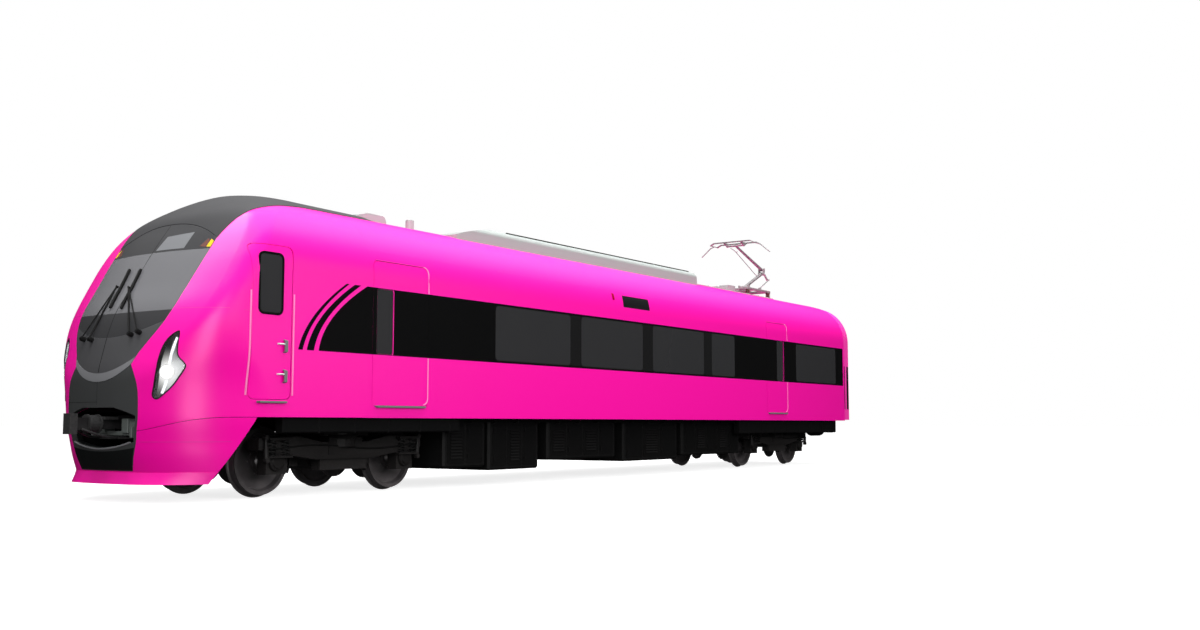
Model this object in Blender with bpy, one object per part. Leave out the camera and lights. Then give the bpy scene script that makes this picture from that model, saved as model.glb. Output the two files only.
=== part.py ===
"""Driving car of an electric express train, as separate named solids with real joints.

The car is modelled in its own frame: x forward from the rear end of the body, y to the left,
z up from the top of the rail. One empty, car_frame, puts that frame into the world, where the
origin lies under the middle of the car at the lowest point of the wheel flanges.
"""
import math

import bmesh
import bpy
import numpy as np
from mathutils import Vector

# Driving dimensions, in metres
GANGWAY_REAR = -0.30
COUPLER_FRONT = 19.20
X_MID = (GANGWAY_REAR + COUPLER_FRONT) / 2
GAP = 0.0003
RUNNING_GAP = 0.006

# Cross-section of the body
SIDE_Y = 1.56
BODY_BOTTOM = 0.977
CROWN_Z = 3.86
CROWN_RADIUS = 3.0
CROWN_HALF_ANGLE = math.radians(18.4)
CROWN_EDGE_Y = CROWN_RADIUS * math.sin(CROWN_HALF_ANGLE)
CROWN_EDGE_Z = CROWN_Z - CROWN_RADIUS * (1 - math.cos(CROWN_HALF_ANGLE))
SHOULDER_RADIUS = (SIDE_Y - CROWN_EDGE_Y) / (1 - math.sin(CROWN_HALF_ANGLE))
SHOULDER_Y = SIDE_Y - SHOULDER_RADIUS
SHOULDER_Z = CROWN_EDGE_Z - SHOULDER_RADIUS * math.cos(CROWN_HALF_ANGLE)
WALL = 0.10
ROOF_SKIN = 0.08
ROOF_EDGE_Z = 3.20
END_WALL = 0.08

# Cab and nose. Each level gives its height, x on the centreline, how far the shallow front curve falls
# back at the side, and the radius of the corner that turns into the side
CAB_REAR = 15.93
CAB_SKIN = 0.06
GLASS = 0.02
SKIRT_LOW_Z = 0.217
SKIRT_TUCK = 0.04
SHELL_TOP_Z = CROWN_Z - 0.006
NOSE_LEVELS = [
    (0.217, 18.650, 0.315, 1.08), (0.60, 18.768, 0.344, 1.07), (1.00, 18.820, 0.353, 0.99),
    (1.40, 18.827, 0.372, 0.855), (1.80, 18.753, 0.369, 0.535), (2.20, 18.626, 0.375, 0.30),
    (2.60, 18.386, 0.325, 0.22), (3.00, 18.144, 0.300, 0.22), (3.30, 17.943, 0.275, 0.22),
    (3.50, 17.790, 0.300, 0.22), (3.64, 17.560, 0.330, 0.22), (3.78, 17.150, 0.330, 0.22),
    (3.854, 16.750, 0.330, 0.18),
]
FRONT_STEPS = 6
CORNER_STEPS = 8
SEAM_FRONT_Z = 0.81
SEAM_FLAT_Y = 0.55
SEAM_SIDE_Y = 1.45
LIP_LOW_Z = 0.195
LIP_OUT = 0.09
LIP_PROUD = 0.002
LIP_TOP_Z = 0.335
LIP_FULL_Y = 0.50
LIP_END_Y = 1.35
SLANT_TOP = (17.72, BODY_BOTTOM)
SLANT_SLOPE = 0.54

# Outlines on the nose, seen from the front, as (y, z) of the left half from top to bottom
WINDSCREEN_SIDE = [(0.964, 3.148), (0.961, 2.95), (0.942, 2.70), (0.926, 2.45), (0.911, 2.28), (0.858, 2.10)]
WINDSCREEN_TOP_Z = 3.397
WINDSCREEN_TOP_POWER = 2.3
WINDSCREEN_LOW_Z = 1.915
MASK_SIDE = [(0.858, 2.10), (0.792, 1.98), (0.696, 1.839), (0.614, 1.723), (0.545, 1.59)]
MASK_LOW_Z = 1.392
MASK_LOW_POWER = 2.2
PANEL_SIDE = [
    (0.545, 1.59), (0.626, 1.452), (0.669, 1.335), (0.684, 1.196), (0.684, 0.988), (0.655, 0.826),
    (0.619, 0.664), (0.503, 0.348),
]
HEADLIGHT = [
    (1.089, 1.972), (1.004, 1.915), (0.937, 1.798), (0.918, 1.657), (0.909, 1.518), (0.878, 1.333), (0.859, 1.229),
    (0.888, 1.186), (0.935, 1.199), (1.044, 1.310), (1.122, 1.425), (1.191, 1.552), (1.179, 1.610), (1.146, 1.656),
    (1.126, 1.713), (1.120, 1.818), (1.113, 1.936),
]
MOUTH_SIDE = [(0.300, 1.09), (0.652, 0.99), (0.623, 0.826), (0.597, 0.69)]
MOUTH_LOW_Z = 0.62

# Hood over the front of the roof: half width at places along the car, and how high it stands along it
HOOD_REAR = 14.78
HOOD_HALF_WIDTH = [
    (14.78, 0.50), (16.00, 0.68), (16.45, 0.80), (16.85, 0.985), (17.15, 1.045), (17.55, 1.07), (17.75, 1.02),
    (17.94, 0.964),
]
HOOD_RISE = [(0.0, 0.04), (0.03, 0.085), (0.75, 0.088), (0.88, 0.045), (0.96, 0.006), (1.0, 0.0)]
HOOD_EDGE = 0.008
HOOD_DEPTH = 0.03

# Floor and underframe
FLOOR_TOP = 1.13
FLOOR_LOW = 1.06
SILL_Y = 1.60
BOLSTER_LOW = 0.93
STEP_LOW = 1.115
DOOR_SILL_Z = 1.138

# Bogies and wheelsets
FRONT_PIVOT_X = 15.885
REAR_PIVOT_X = 2.75
WHEELBASE = 2.30
TREAD_RADIUS = 0.43
FLANGE_HEIGHT = 0.028
JOURNAL_RADIUS = 0.06
JOURNAL_END_Y = 1.10
ROUND_STEPS = 20

# Openings along the side, as x from and to
CAB_DOOR = (17.257, 17.858)
CAB_DOOR_Z = (1.194, 3.055)
CAB_DOOR_CORNER = 0.08
CAB_DOOR_SKIN = 0.05
CAB_DOOR_INNER_Y = 1.40
CAB_HINGE_Y = 1.34
CAB_DOORWAY_LEVELS = [(1.80, RUNNING_GAP), (1.57, RUNNING_GAP), (1.49, 0.030), (1.20, 0.030)]
CAB_WINDOW_X = (17.40, 17.765)
CAB_WINDOW_Z = (2.216, 2.96)
CAB_STEP_X = (17.33, 17.74)
CAB_STEP_Z = (1.15, 1.17)
FRONT_DOOR = (14.79, 15.862)
REAR_DOOR = (3.18, 4.188)
DOOR_Z = (1.154, 3.066)
BAND_Z = (1.81, 2.70)
BAND_DEPTH = 0.012
MAIN_BAND = (4.26, 14.72)
MAIN_WINDOWS = [(11.373, 13.303), (9.151, 11.061), (6.922, 8.805), (5.646, 6.600)]
REAR_WINDOW = (0.494, 2.742)
WINDOW_Z = (1.87, 2.66)
DOOR_PANE_Z = (1.815, 2.695)

# Roof equipment
AIR_UNIT_X = (6.09, 13.5)
AIR_UNIT_Y = 0.95
ROOF_CASES = [("roof_case_front", (3.308, 3.763), 0.14, 3.96), ("roof_case_rear", (2.83, 3.16), 0.12, 4.05)]

# Pantograph pivots as (x, z)
PANTO_PIVOT = (2.15, 4.09)
PANTO_KNEE = (1.235, 4.506)
PANTO_HEAD = (2.56, 5.03)
PANTO_ROD_FOOT = (1.586, 4.101)
PANTO_CRANK = (1.067, 4.368)
PANTO_BASE_X = (1.40, 2.60)
PANTO_BASE_Z = (4.00, 4.05)
PANTO_RAIL_Y = (0.25, 0.31)
UPPER_ARM_OFFSET = 0.095
KNEE_HALF = 0.045
FORK_Y = 0.075


# Scene and materials

def clear_scene():
    for obj in list(bpy.data.objects):
        bpy.data.objects.remove(obj, do_unlink=True)


def finish(name, colour, roughness, metallic=0.0, transmission=0.0):
    """A plain Principled material."""
    material = bpy.data.materials.new(name)
    material.use_nodes = True
    shader = material.node_tree.nodes["Principled BSDF"]
    shader.inputs["Base Color"].default_value = (*colour, 1.0)
    shader.inputs["Roughness"].default_value = roughness
    shader.inputs["Metallic"].default_value = metallic
    shader.inputs["Transmission Weight"].default_value = transmission
    material.diffuse_color = (*colour, 1.0)
    return material


def make_finishes():
    return {
        "pink": finish("pink_paint", (0.90, 0.0, 0.33), 0.2),
        "pale_pink": finish("pale_pink_rubber", (0.85, 0.25, 0.50), 0.6),
        "hood": finish("dark_grey_paint", (0.06, 0.06, 0.065), 0.3),
        "black": finish("black_paint", (0.012, 0.012, 0.013), 0.35),
        "glass": finish("dark_glass", (0.02, 0.02, 0.022), 0.08, 0.0, 0.5),
        "lamp": finish("lamp_glass", (0.75, 0.75, 0.78), 0.1, 0.2),
        "under": finish("underfloor_paint", (0.025, 0.025, 0.027), 0.6),
        "steel": finish("wheel_steel", (0.16, 0.16, 0.17), 0.4, 0.9),
        "grey": finish("light_grey_metal", (0.42, 0.42, 0.43), 0.4, 0.6),
        "inside": finish("lining", (0.45, 0.45, 0.46), 0.6),
        "seat": finish("seat_fabric", (0.10, 0.10, 0.12), 0.9),
    }


# Building blocks

def link(name, mesh, material, parent, origin=(0.0, 0.0, 0.0)):
    """An object from a mesh in the parent's frame, with its own origin at the given point."""
    shift = Vector(origin)
    for vertex in mesh.vertices:
        vertex.co -= shift
    mesh.materials.append(material)
    obj = bpy.data.objects.new(name, mesh)
    bpy.context.scene.collection.objects.link(obj)
    obj.parent = parent
    obj.location = shift
    return obj


def mesh_of(name, points, faces, smooth_angle=None):
    mesh = bpy.data.meshes.new(name)
    mesh.from_pydata([tuple(map(float, p)) for p in points], [], faces)
    editable = bmesh.new()
    editable.from_mesh(mesh)
    bmesh.ops.recalc_face_normals(editable, faces=editable.faces)
    editable.to_mesh(mesh)
    editable.free()
    if smooth_angle is not None:
        mesh.shade_smooth()
        mesh.set_sharp_from_angle(angle=math.radians(smooth_angle))
    return mesh


def prism_mesh(name, outline, axis, low, high, smooth_angle=None):
    """A flat outline pushed along x, y or z. The outline holds the two other coordinates in order."""
    index = "xyz".index(axis)
    points = []
    for value in (low, high):
        for pair in outline:
            point = list(pair)
            point.insert(index, value)
            points.append(point)
    count = len(outline)
    faces = [list(range(count)), list(range(2 * count - 1, count - 1, -1))]
    for i in range(count):
        j = (i + 1) % count
        faces.append([i, j, count + j, count + i])
    return mesh_of(name, points, faces, smooth_angle)


def stacked_mesh(name, rings):
    """A closed solid through flat rings that have the same number of points."""
    count = len(rings[0])
    points = [point for ring in rings for point in ring]
    faces = [list(range(count)), list(range(len(points) - 1, len(points) - count - 1, -1))]
    for start in range(0, len(points) - count, count):
        for i in range(count):
            j = (i + 1) % count
            faces.append([start + i, start + j, start + count + j, start + count + i])
    return mesh_of(name, points, faces)


def block_mesh(name, x, y, z):
    return prism_mesh(name, [(x[0], y[0]), (x[1], y[0]), (x[1], y[1]), (x[0], y[1])], "z", z[0], z[1])


def turned_mesh(name, profile, axis, centre, steps=ROUND_STEPS, smooth_angle=40):
    """A closed solid turned about a line along x, y or z. The profile holds (place on the line, radius)."""
    index = "xyz".index(axis)
    u, v = [i for i in range(3) if i != index]
    points = []
    rings = []
    for place, radius in profile:
        ring = []
        for step in range(steps if radius > 0 else 1):
            angle = 2 * math.pi * step / steps
            point = list(centre)
            point[index] += place
            point[u] += radius * math.sin(angle)
            point[v] -= radius * math.cos(angle)
            ring.append(len(points))
            points.append(point)
        rings.append(ring)
    faces = []
    for a, b in zip(rings, rings[1:]):
        for step in range(steps):
            after = (step + 1) % steps
            if len(a) == 1:
                faces.append([a[0], b[step], b[after]])
            elif len(b) == 1:
                faces.append([a[step], b[0], a[after]])
            else:
                faces.append([a[step], b[step], b[after], a[after]])
    return mesh_of(name, points, faces, smooth_angle)


def rod_mesh(name, start, end, radius, steps=12):
    """A round rod between two points."""
    a, b = Vector(start), Vector(end)
    along = (b - a).normalized()
    side = along.orthogonal().normalized()
    other = along.cross(side)
    points = []
    for centre in (a, b):
        for step in range(steps):
            angle = 2 * math.pi * step / steps
            points.append(centre + radius * (math.cos(angle) * side + math.sin(angle) * other))
    faces = [list(range(steps)), list(range(2 * steps - 1, steps - 1, -1))]
    faces += [[i, (i + 1) % steps, steps + (i + 1) % steps, steps + i] for i in range(steps)]
    return mesh_of(name, points, faces, 40)


def helper(mesh, parent):
    """A hidden solid that a Boolean reads."""
    obj = bpy.data.objects.new(mesh.name, mesh)
    bpy.context.scene.collection.objects.link(obj)
    obj.parent = parent
    obj.hide_render = True
    obj.display_type = "WIRE"
    return obj


def combine(obj, operation, meshes, parent):
    """Adds one Boolean for each mesh, which is given in the frame of the parent."""
    for mesh in meshes:
        modifier = obj.modifiers.new(operation.lower(), "BOOLEAN")
        modifier.operation = operation
        modifier.solver = "EXACT"
        modifier.object = helper(mesh, parent)
    return obj


def chamfer(obj, width, segments=1, angle=50):
    modifier = obj.modifiers.new("bevel", "BEVEL")
    modifier.width = width
    modifier.segments = segments
    modifier.limit_method = "ANGLE"
    modifier.angle_limit = math.radians(angle)
    return obj


def mirrored(outline):
    """The whole outline from its left half, given from top to bottom."""
    return [tuple(p) for p in outline] + [(-y, z) for y, z in reversed(outline)]


def arc_between(y, z_edge, z_middle, steps, power=2.0):
    """Points of a shallow arc across the car, from +y to -y, without its two ends."""
    values = [1 - 2 * i / steps for i in range(1, steps)]
    return [(y * t, z_middle + (z_edge - z_middle) * abs(t) ** power) for t in values]


def rounded_outline(first, second, radius, steps=3):
    """A rectangle with round corners, from its two ranges."""
    corners = [
        (first[1], second[0], -90), (first[1], second[1], 0), (first[0], second[1], 90), (first[0], second[0], 180),
    ]
    points = []
    for a, b, start in corners:
        centre_a = a - math.copysign(radius, a - sum(first) / 2)
        centre_b = b - math.copysign(radius, b - sum(second) / 2)
        for i in range(steps + 1):
            angle = math.radians(start + 90 * i / steps)
            points.append((centre_a + radius * math.cos(angle), centre_b + radius * math.sin(angle)))
    return points


def smoothstep(value):
    t = min(max(value, 0.0), 1.0)
    return t * t * (3 - 2 * t)


# Shape of the body and of the nose

def body_half_width(z):
    """Half width of the body's outside at height z."""
    if z < BODY_BOTTOM:
        return SIDE_Y - SKIRT_TUCK * ((BODY_BOTTOM - z) / (BODY_BOTTOM - SKIRT_LOW_Z)) ** 1.2
    if z < SHOULDER_Z:
        return SIDE_Y
    if z < CROWN_EDGE_Z:
        return SHOULDER_Y + math.sqrt(SHOULDER_RADIUS**2 - (z - SHOULDER_Z) ** 2)
    rise = min(z, CROWN_Z) - (CROWN_Z - CROWN_RADIUS)
    return math.sqrt(max(CROWN_RADIUS**2 - rise**2, 0.0))


def section_points(inset, low_z, steps=9):
    """Left half of the body's section, offset inwards, from low_z up over the shoulder to the crown."""
    points = [(SIDE_Y - inset, low_z)] if low_z < SHOULDER_Z else []
    for i in range(steps + 1):
        angle = (math.pi / 2 - CROWN_HALF_ANGLE) * i / steps
        radius = SHOULDER_RADIUS - inset
        points.append((SHOULDER_Y + radius * math.cos(angle), SHOULDER_Z + radius * math.sin(angle)))
    for i in range(1, 5):
        angle = CROWN_HALF_ANGLE * (1 - i / 4)
        radius = CROWN_RADIUS - inset
        points.append((radius * math.sin(angle), CROWN_Z - CROWN_RADIUS + radius * math.cos(angle)))
    return points


def smooth_through(knots, values):
    """Values of a curve through knots (t, v) with no overshoot between them."""
    t = np.array([k[0] for k in knots], float)
    v = np.array([k[1] for k in knots], float)
    step = np.diff(t)
    slope = np.diff(v) / step
    tangent = np.concatenate([[slope[0]], np.zeros(len(t) - 2), [slope[-1]]])
    for i in range(1, len(t) - 1):
        if slope[i - 1] * slope[i] > 0:
            first = 2 * step[i] + step[i - 1]
            second = step[i] + 2 * step[i - 1]
            tangent[i] = (first + second) / (first / slope[i - 1] + second / slope[i])
    values = np.asarray(values, float)
    i = np.clip(np.searchsorted(t, values) - 1, 0, len(step) - 1)
    s = (values - t[i]) / step[i]
    return (
        (1 + 2 * s) * (1 - s) ** 2 * v[i] + s * (1 - s) ** 2 * step[i] * tangent[i]
        + s * s * (3 - 2 * s) * v[i + 1] + s * s * (s - 1) * step[i] * tangent[i + 1]
    )


def nose_law(z):
    """The nose at height z: x on the centreline, fall of the front curve, and corner radius."""
    return [float(smooth_through([(level[0], level[i]) for level in NOSE_LEVELS], [z])[0]) for i in (1, 2, 3)]


def nose_heights(low_z, high_z, levels):
    """Heights between two limits, evenly spaced along the nose's centreline."""
    dense = np.linspace(NOSE_LEVELS[0][0], NOSE_LEVELS[-1][0], 400)
    front = smooth_through([(level[0], level[1]) for level in NOSE_LEVELS], dense)
    length = np.concatenate([[0], np.cumsum(np.hypot(np.diff(front), np.diff(dense)))])
    even = np.interp(np.linspace(0, length[-1], levels), length, dense)
    return [low_z] + [z for z in even if low_z + 0.02 < z < high_z - 0.004] + [high_z]


def nose_ring(z, rear_x, out=0.0):
    """One level line of the nose, from the right rear round the front to the left rear."""
    width = body_half_width(z) + out
    front, fall, corner = nose_law(z)
    corner = min(corner, 0.9 * width)
    left = []
    for i in range(FRONT_STEPS + 1):
        y = (width - corner) * i / FRONT_STEPS
        left.append((front + out - fall * (y / width) ** 2, y, z))
    for i in range(1, CORNER_STEPS + 1):
        angle = math.pi / 2 * i / CORNER_STEPS
        y = width - corner * (1 - math.sin(angle))
        left.append((front + out - fall * (y / width) ** 2 - corner * (1 - math.cos(angle)), y, z))
    left.append((rear_x, width, z))
    return [(x, -y, level) for x, y, level in left[:0:-1]] + left


def nose_shell_mesh(name, low_z, high_z, rear_x, thickness, out=0.0, levels=30):
    """The nose between two heights as a closed shell. It closes over the top where it reaches the crown."""
    over_top = high_z > CROWN_Z - 0.02
    outer = np.array([nose_ring(z, rear_x) for z in nose_heights(low_z, high_z, levels)])
    normals = grid_normals(outer)
    inner = outer - thickness * normals
    outer = outer + out * normals
    for grid in (outer, inner):
        grid[:, 0, 0] = rear_x
        grid[:, -1, 0] = rear_x
        grid[0, :, 2] = low_z
        if not over_top:
            grid[-1, :, 2] = high_z
    return shell_from_grids(name, outer, inner, over_top)


def lip_mesh(rear_x, depth=0.05):
    """The lip round the lower edge of the skirt: flush at its top, flared below, and fading to the sides."""
    outer = []
    inner = []
    for z, flare in ((LIP_LOW_Z, LIP_OUT), (LIP_TOP_Z, 0.0)):
        near = np.array(nose_ring(z, rear_x, LIP_PROUD))
        far = np.array(nose_ring(z, rear_x, LIP_PROUD + flare))
        fade = [1 - smoothstep((abs(y) - LIP_FULL_Y) / (LIP_END_Y - LIP_FULL_Y)) for y in near[:, 1]]
        outer.append(near + (far - near) * np.array(fade)[:, None])
        inner.append(nose_ring(z, rear_x, -depth))
    return shell_from_grids("lip", np.array(outer), np.array(inner), False)


def nose_surface_x(y, z):
    """x of the nose's surface at a height and a distance from the centreline."""
    width = body_half_width(z)
    front, fall, corner = nose_law(z)
    corner = min(corner, 0.9 * width)
    x = front - fall * (y / width) ** 2
    turn = 1 - (width - abs(y)) / corner
    if turn > 0:
        x -= corner * (1 - math.sqrt(max(1 - turn * turn, 0.0)))
    return x


def surface_height(x, y):
    """Height of the roof's outside at a place on the plan."""
    low, high = 2.9, SHELL_TOP_Z
    for _ in range(30):
        z = (low + high) / 2
        inside = abs(y) < body_half_width(z) and (x < CAB_REAR or x < nose_surface_x(y, z))
        low, high = (z, high) if inside else (low, z)
    return low


def grid_normals(grid):
    """Outward unit normals of a grid of points, from the differences to its neighbours."""
    along = np.gradient(grid, axis=1)
    up = np.gradient(grid, axis=0)
    normal = np.cross(along, up)
    length = np.linalg.norm(normal, axis=2, keepdims=True)
    return normal / np.maximum(length, 1e-9)


def shell_from_grids(name, outer, inner, closed_top):
    """A closed solid between two grids. With closed_top, each grid's last row is joined left to right."""
    rows, columns, _ = outer.shape
    points = np.concatenate([outer.reshape(-1, 3), inner.reshape(-1, 3)])
    half = rows * columns
    faces = []

    def at(side, row, column):
        return side * half + row * columns + column

    for side in (0, 1):
        for row in range(rows - 1):
            for column in range(columns - 1):
                a, b = at(side, row, column), at(side, row, column + 1)
                c, d = at(side, row + 1, column + 1), at(side, row + 1, column)
                halves = ([a, b, c], [a, c, d]) if 2 * column < columns - 1 else ([a, b, d], [b, c, d])
                faces += [face if side == 0 else face[::-1] for face in halves]
    for column in range(columns - 1):
        faces.append([at(0, 0, column + 1), at(0, 0, column), at(1, 0, column), at(1, 0, column + 1)])
    for row in range(rows - 1):
        faces.append([at(0, row, 0), at(0, row + 1, 0), at(1, row + 1, 0), at(1, row, 0)])
        last = columns - 1
        faces.append([at(0, row + 1, last), at(0, row, last), at(1, row, last), at(1, row + 1, last)])
    top = rows - 1
    if closed_top:
        for side in (0, 1):
            for column in range(columns // 2):
                other = columns - 1 - column
                around = (column, column + 1, other - 1, other)
                quad = list(dict.fromkeys(at(side, top, place) for place in around))
                if len(quad) > 2:
                    faces.append(quad if side == 0 else quad[::-1])
        faces.append([at(0, top, 0), at(0, top, columns - 1), at(1, top, columns - 1), at(1, top, 0)])
    else:
        for column in range(columns - 1):
            faces.append([at(0, top, column), at(0, top, column + 1), at(1, top, column + 1), at(1, top, column)])
    return mesh_of(name, points, faces, 40)


def front_cutter(name, outline, grow=0.0):
    """A solid along x through the nose, from an outline seen from the front, grown outwards by grow."""
    centre = np.mean(outline, axis=0)
    points = []
    count = len(outline)
    for i in range(count):
        before, here, after = (np.array(outline[k % count], float) for k in (i - 1, i, i + 1))
        first = (here - before) / np.linalg.norm(here - before)
        second = (after - here) / np.linalg.norm(after - here)
        normal = np.array([-(first + second)[1], (first + second)[0]])
        normal /= np.linalg.norm(normal)
        if np.dot(normal, here - centre) < 0:
            normal = -normal
        points.append(tuple(here + grow * normal))
    return prism_mesh(name, points, "x", 17.0, 19.4)


# Outlines on the nose

def whole_outline(side, low, low_power, high_z, high_power):
    """A whole outline on the nose from its left side, a lower arc (given by its middle) and an upper one."""
    right = [(-y, z) for y, z in reversed(side)]
    bottom = arc_between(*side[-1], low, 10, low_power) if low is not None else []
    top = [(-y, z) for y, z in arc_between(*side[0], high_z, 10, high_power)]
    return side + bottom + right + top


def windscreen_outline():
    return whole_outline(WINDSCREEN_SIDE, WINDSCREEN_LOW_Z, 2, WINDSCREEN_TOP_Z, WINDSCREEN_TOP_POWER)


def mask_outline():
    return whole_outline(MASK_SIDE, MASK_LOW_Z, MASK_LOW_POWER, WINDSCREEN_LOW_Z, 2)


def panel_outline():
    return whole_outline(PANEL_SIDE, None, 2, MASK_LOW_Z, MASK_LOW_POWER)


def mouth_outline():
    low = arc_between(*MOUTH_SIDE[-1], MOUTH_LOW_Z, 8)
    return MOUTH_SIDE + low + [(-y, z) for y, z in reversed(MOUTH_SIDE)]


# Body

def make_underframe(car, paint):
    """Floor, side sills, centre sill and the two bolsters, with the door steps that reach outside."""
    sill_y, centre_y = 1.38, 0.25
    outline = [
        (sill_y, FLOOR_TOP), (sill_y, BODY_BOTTOM), (1.22, BODY_BOTTOM), (1.22, FLOOR_LOW), (centre_y, FLOOR_LOW),
        (centre_y, BODY_BOTTOM),
    ]
    mesh = prism_mesh("underframe", mirrored(outline), "x", 0.12, 17.10)
    obj = link("underframe", mesh, paint["under"], car)
    cab_floor = [(17.0, sill_y), (17.90, sill_y), (18.20, 1.05)]
    cab_floor += [(x, -y) for x, y in reversed(cab_floor)]
    parts = [prism_mesh("cab_floor", cab_floor, "z", FLOOR_LOW, FLOOR_TOP)]
    for pivot in (FRONT_PIVOT_X, REAR_PIVOT_X):
        bolster = block_mesh("bolster", (pivot - 0.35, pivot + 0.35), (-1.36, 1.36), (BOLSTER_LOW, FLOOR_LOW + 0.02))
        parts.append(bolster)
    steps = [(CAB_STEP_X, CAB_STEP_Z)]
    for start, end in (FRONT_DOOR, REAR_DOOR):
        steps.append(((start + 0.07, end - 0.07), (STEP_LOW, DOOR_SILL_Z)))
    for x, z in steps:
        for side in (1, -1):
            parts.append(block_mesh("door_step", x, sorted((side * 1.30, side * SILL_Y)), z))
            parts.append(block_mesh("step_root", x, sorted((side * 1.30, side * sill_y)), (FLOOR_LOW + 0.01, z[1])))
    combine(obj, "UNION", parts, car)
    return obj


def make_side_wall(car, paint, side):
    """One side of the saloon, with its doorways, window openings and the recess of the glass band."""
    name = "side_wall_left" if side > 0 else "side_wall_right"
    outer = [p for p in section_points(0.0, BODY_BOTTOM) if p[1] < ROOF_EDGE_Z]
    outer.append((body_half_width(ROOF_EDGE_Z), ROOF_EDGE_Z))
    inner = [(y - WALL, z) for y, z in outer]
    outline = [(side * y, z) for y, z in outer + inner[::-1]]
    wall = link(name, prism_mesh(name, outline, "x", END_WALL + GAP, CAB_REAR - GAP, 40), paint["pink"], car)
    across = sorted((side * 1.2, side * 1.8))
    cuts = []
    for start, end in (FRONT_DOOR, REAR_DOOR):
        cuts.append(block_mesh("doorway", (start, end), across, (STEP_LOW - GAP, DOOR_Z[1])))
    recess = sorted((side * (SIDE_Y - BAND_DEPTH), side * 1.8))
    cuts.append(block_mesh("band_recess", MAIN_BAND, recess, BAND_Z))
    cuts.append(block_mesh("rear_recess", REAR_WINDOW, recess, BAND_Z))
    for start, end in MAIN_WINDOWS:
        cuts.append(block_mesh("window", (start, end), across, WINDOW_Z))
    cuts.append(block_mesh("window", (REAR_WINDOW[0] + 0.06, REAR_WINDOW[1] - 0.06), across, WINDOW_Z))
    combine(wall, "DIFFERENCE", cuts, car)
    return wall


def make_bands(car, paint, side):
    """The flush glass bands outside the window openings."""
    hand = "left" if side > 0 else "right"
    depth = sorted((side * (SIDE_Y - BAND_DEPTH + GAP), side * SIDE_Y))
    for label, (start, end) in (("window_band", MAIN_BAND), ("rear_window", REAR_WINDOW)):
        name = f"{label}_{hand}"
        mesh = block_mesh(name, (start + GAP, end - GAP), depth, (BAND_Z[0] + GAP, BAND_Z[1] - GAP))
        link(name, mesh, paint["glass"], car)


def make_roof(car, paint):
    outer = [p for p in section_points(0.0, BODY_BOTTOM) if p[1] > ROOF_EDGE_Z]
    outer = [(body_half_width(ROOF_EDGE_Z + GAP), ROOF_EDGE_Z + GAP)] + outer
    inner = [p for p in section_points(ROOF_SKIN, BODY_BOTTOM) if p[1] > ROOF_EDGE_Z]
    inner = [(body_half_width(ROOF_EDGE_Z + GAP) - WALL, ROOF_EDGE_Z + GAP)] + inner
    outline = outer + [(-y, z) for y, z in outer[-2::-1]] + [(-y, z) for y, z in inner] + inner[-2::-1]
    mesh = prism_mesh("roof", outline, "x", END_WALL + GAP, CAB_REAR - GAP, 40)
    return link("roof", mesh, paint["pink"], car)


def full_section(inset, low_z):
    half = section_points(inset, low_z)
    return half + [(-y, z) for y, z in half[-2::-1]]


def make_rear_end(car, paint):
    """The end wall with its doorway, and the half of the gangway that belongs to this car."""
    mesh = prism_mesh("rear_end_wall", full_section(0.0, BODY_BOTTOM), "x", 0.0, END_WALL, 40)
    wall = link("rear_end_wall", mesh, paint["pink"], car)
    combine(wall, "DIFFERENCE", [block_mesh("rear_doorway", (-1, 1), (-0.45, 0.45), (FLOOR_TOP, 3.05))], car)
    cover = prism_mesh("gangway", full_section(0.015, BODY_BOTTOM + 0.02), "x", GANGWAY_REAR, -GAP, 40)
    gangway = link("gangway", cover, paint["pale_pink"], car)
    combine(gangway, "DIFFERENCE", [block_mesh("passage", (-2, 1), (-0.75, 0.75), (FLOOR_TOP, 3.25))], car)
    bar = block_mesh("rear_drawbar", (GANGWAY_REAR, 0.70), (-0.11, 0.11), (0.80, BODY_BOTTOM - GAP))
    link("rear_drawbar", bar, paint["under"], car)


# Cab

def seam_outline(drop=0.0):
    """Everything below the seam between cab and skirt, seen from the front."""
    points = []
    for i in range(25):
        y = 1.7 - 3.4 * i / 24
        rise = smoothstep((abs(y) - SEAM_FLAT_Y) / (SEAM_SIDE_Y - SEAM_FLAT_Y))
        points.append((y, SEAM_FRONT_Z + (BODY_BOTTOM - SEAM_FRONT_Z) * rise - drop))
    return points + [(-1.7, 0.0), (1.7, 0.0)]


def cab_doorway_meshes(side):
    """Cutters for one cab doorway: the opening, which widens inwards at the rear post, and the slot of the step."""
    opening_z = (CAB_DOOR_Z[0] - RUNNING_GAP, CAB_DOOR_Z[1] + RUNNING_GAP)
    rings = []
    for y, rear_gap in CAB_DOORWAY_LEVELS:
        opening_x = (CAB_DOOR[0] - rear_gap, CAB_DOOR[1] + GAP)
        rings.append([(x, side * y, z) for x, z in rounded_outline(opening_x, opening_z, CAB_DOOR_CORNER)])
    reach = sorted((side * CAB_DOORWAY_LEVELS[0][0], side * CAB_DOORWAY_LEVELS[-1][0]))
    step_x = (CAB_STEP_X[0] - GAP, CAB_STEP_X[1] + GAP)
    step_z = (CAB_STEP_Z[0] - GAP, CAB_STEP_Z[1] + GAP)
    return [stacked_mesh("cab_doorway", rings), block_mesh("step_slot", step_x, reach, step_z)]


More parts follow.
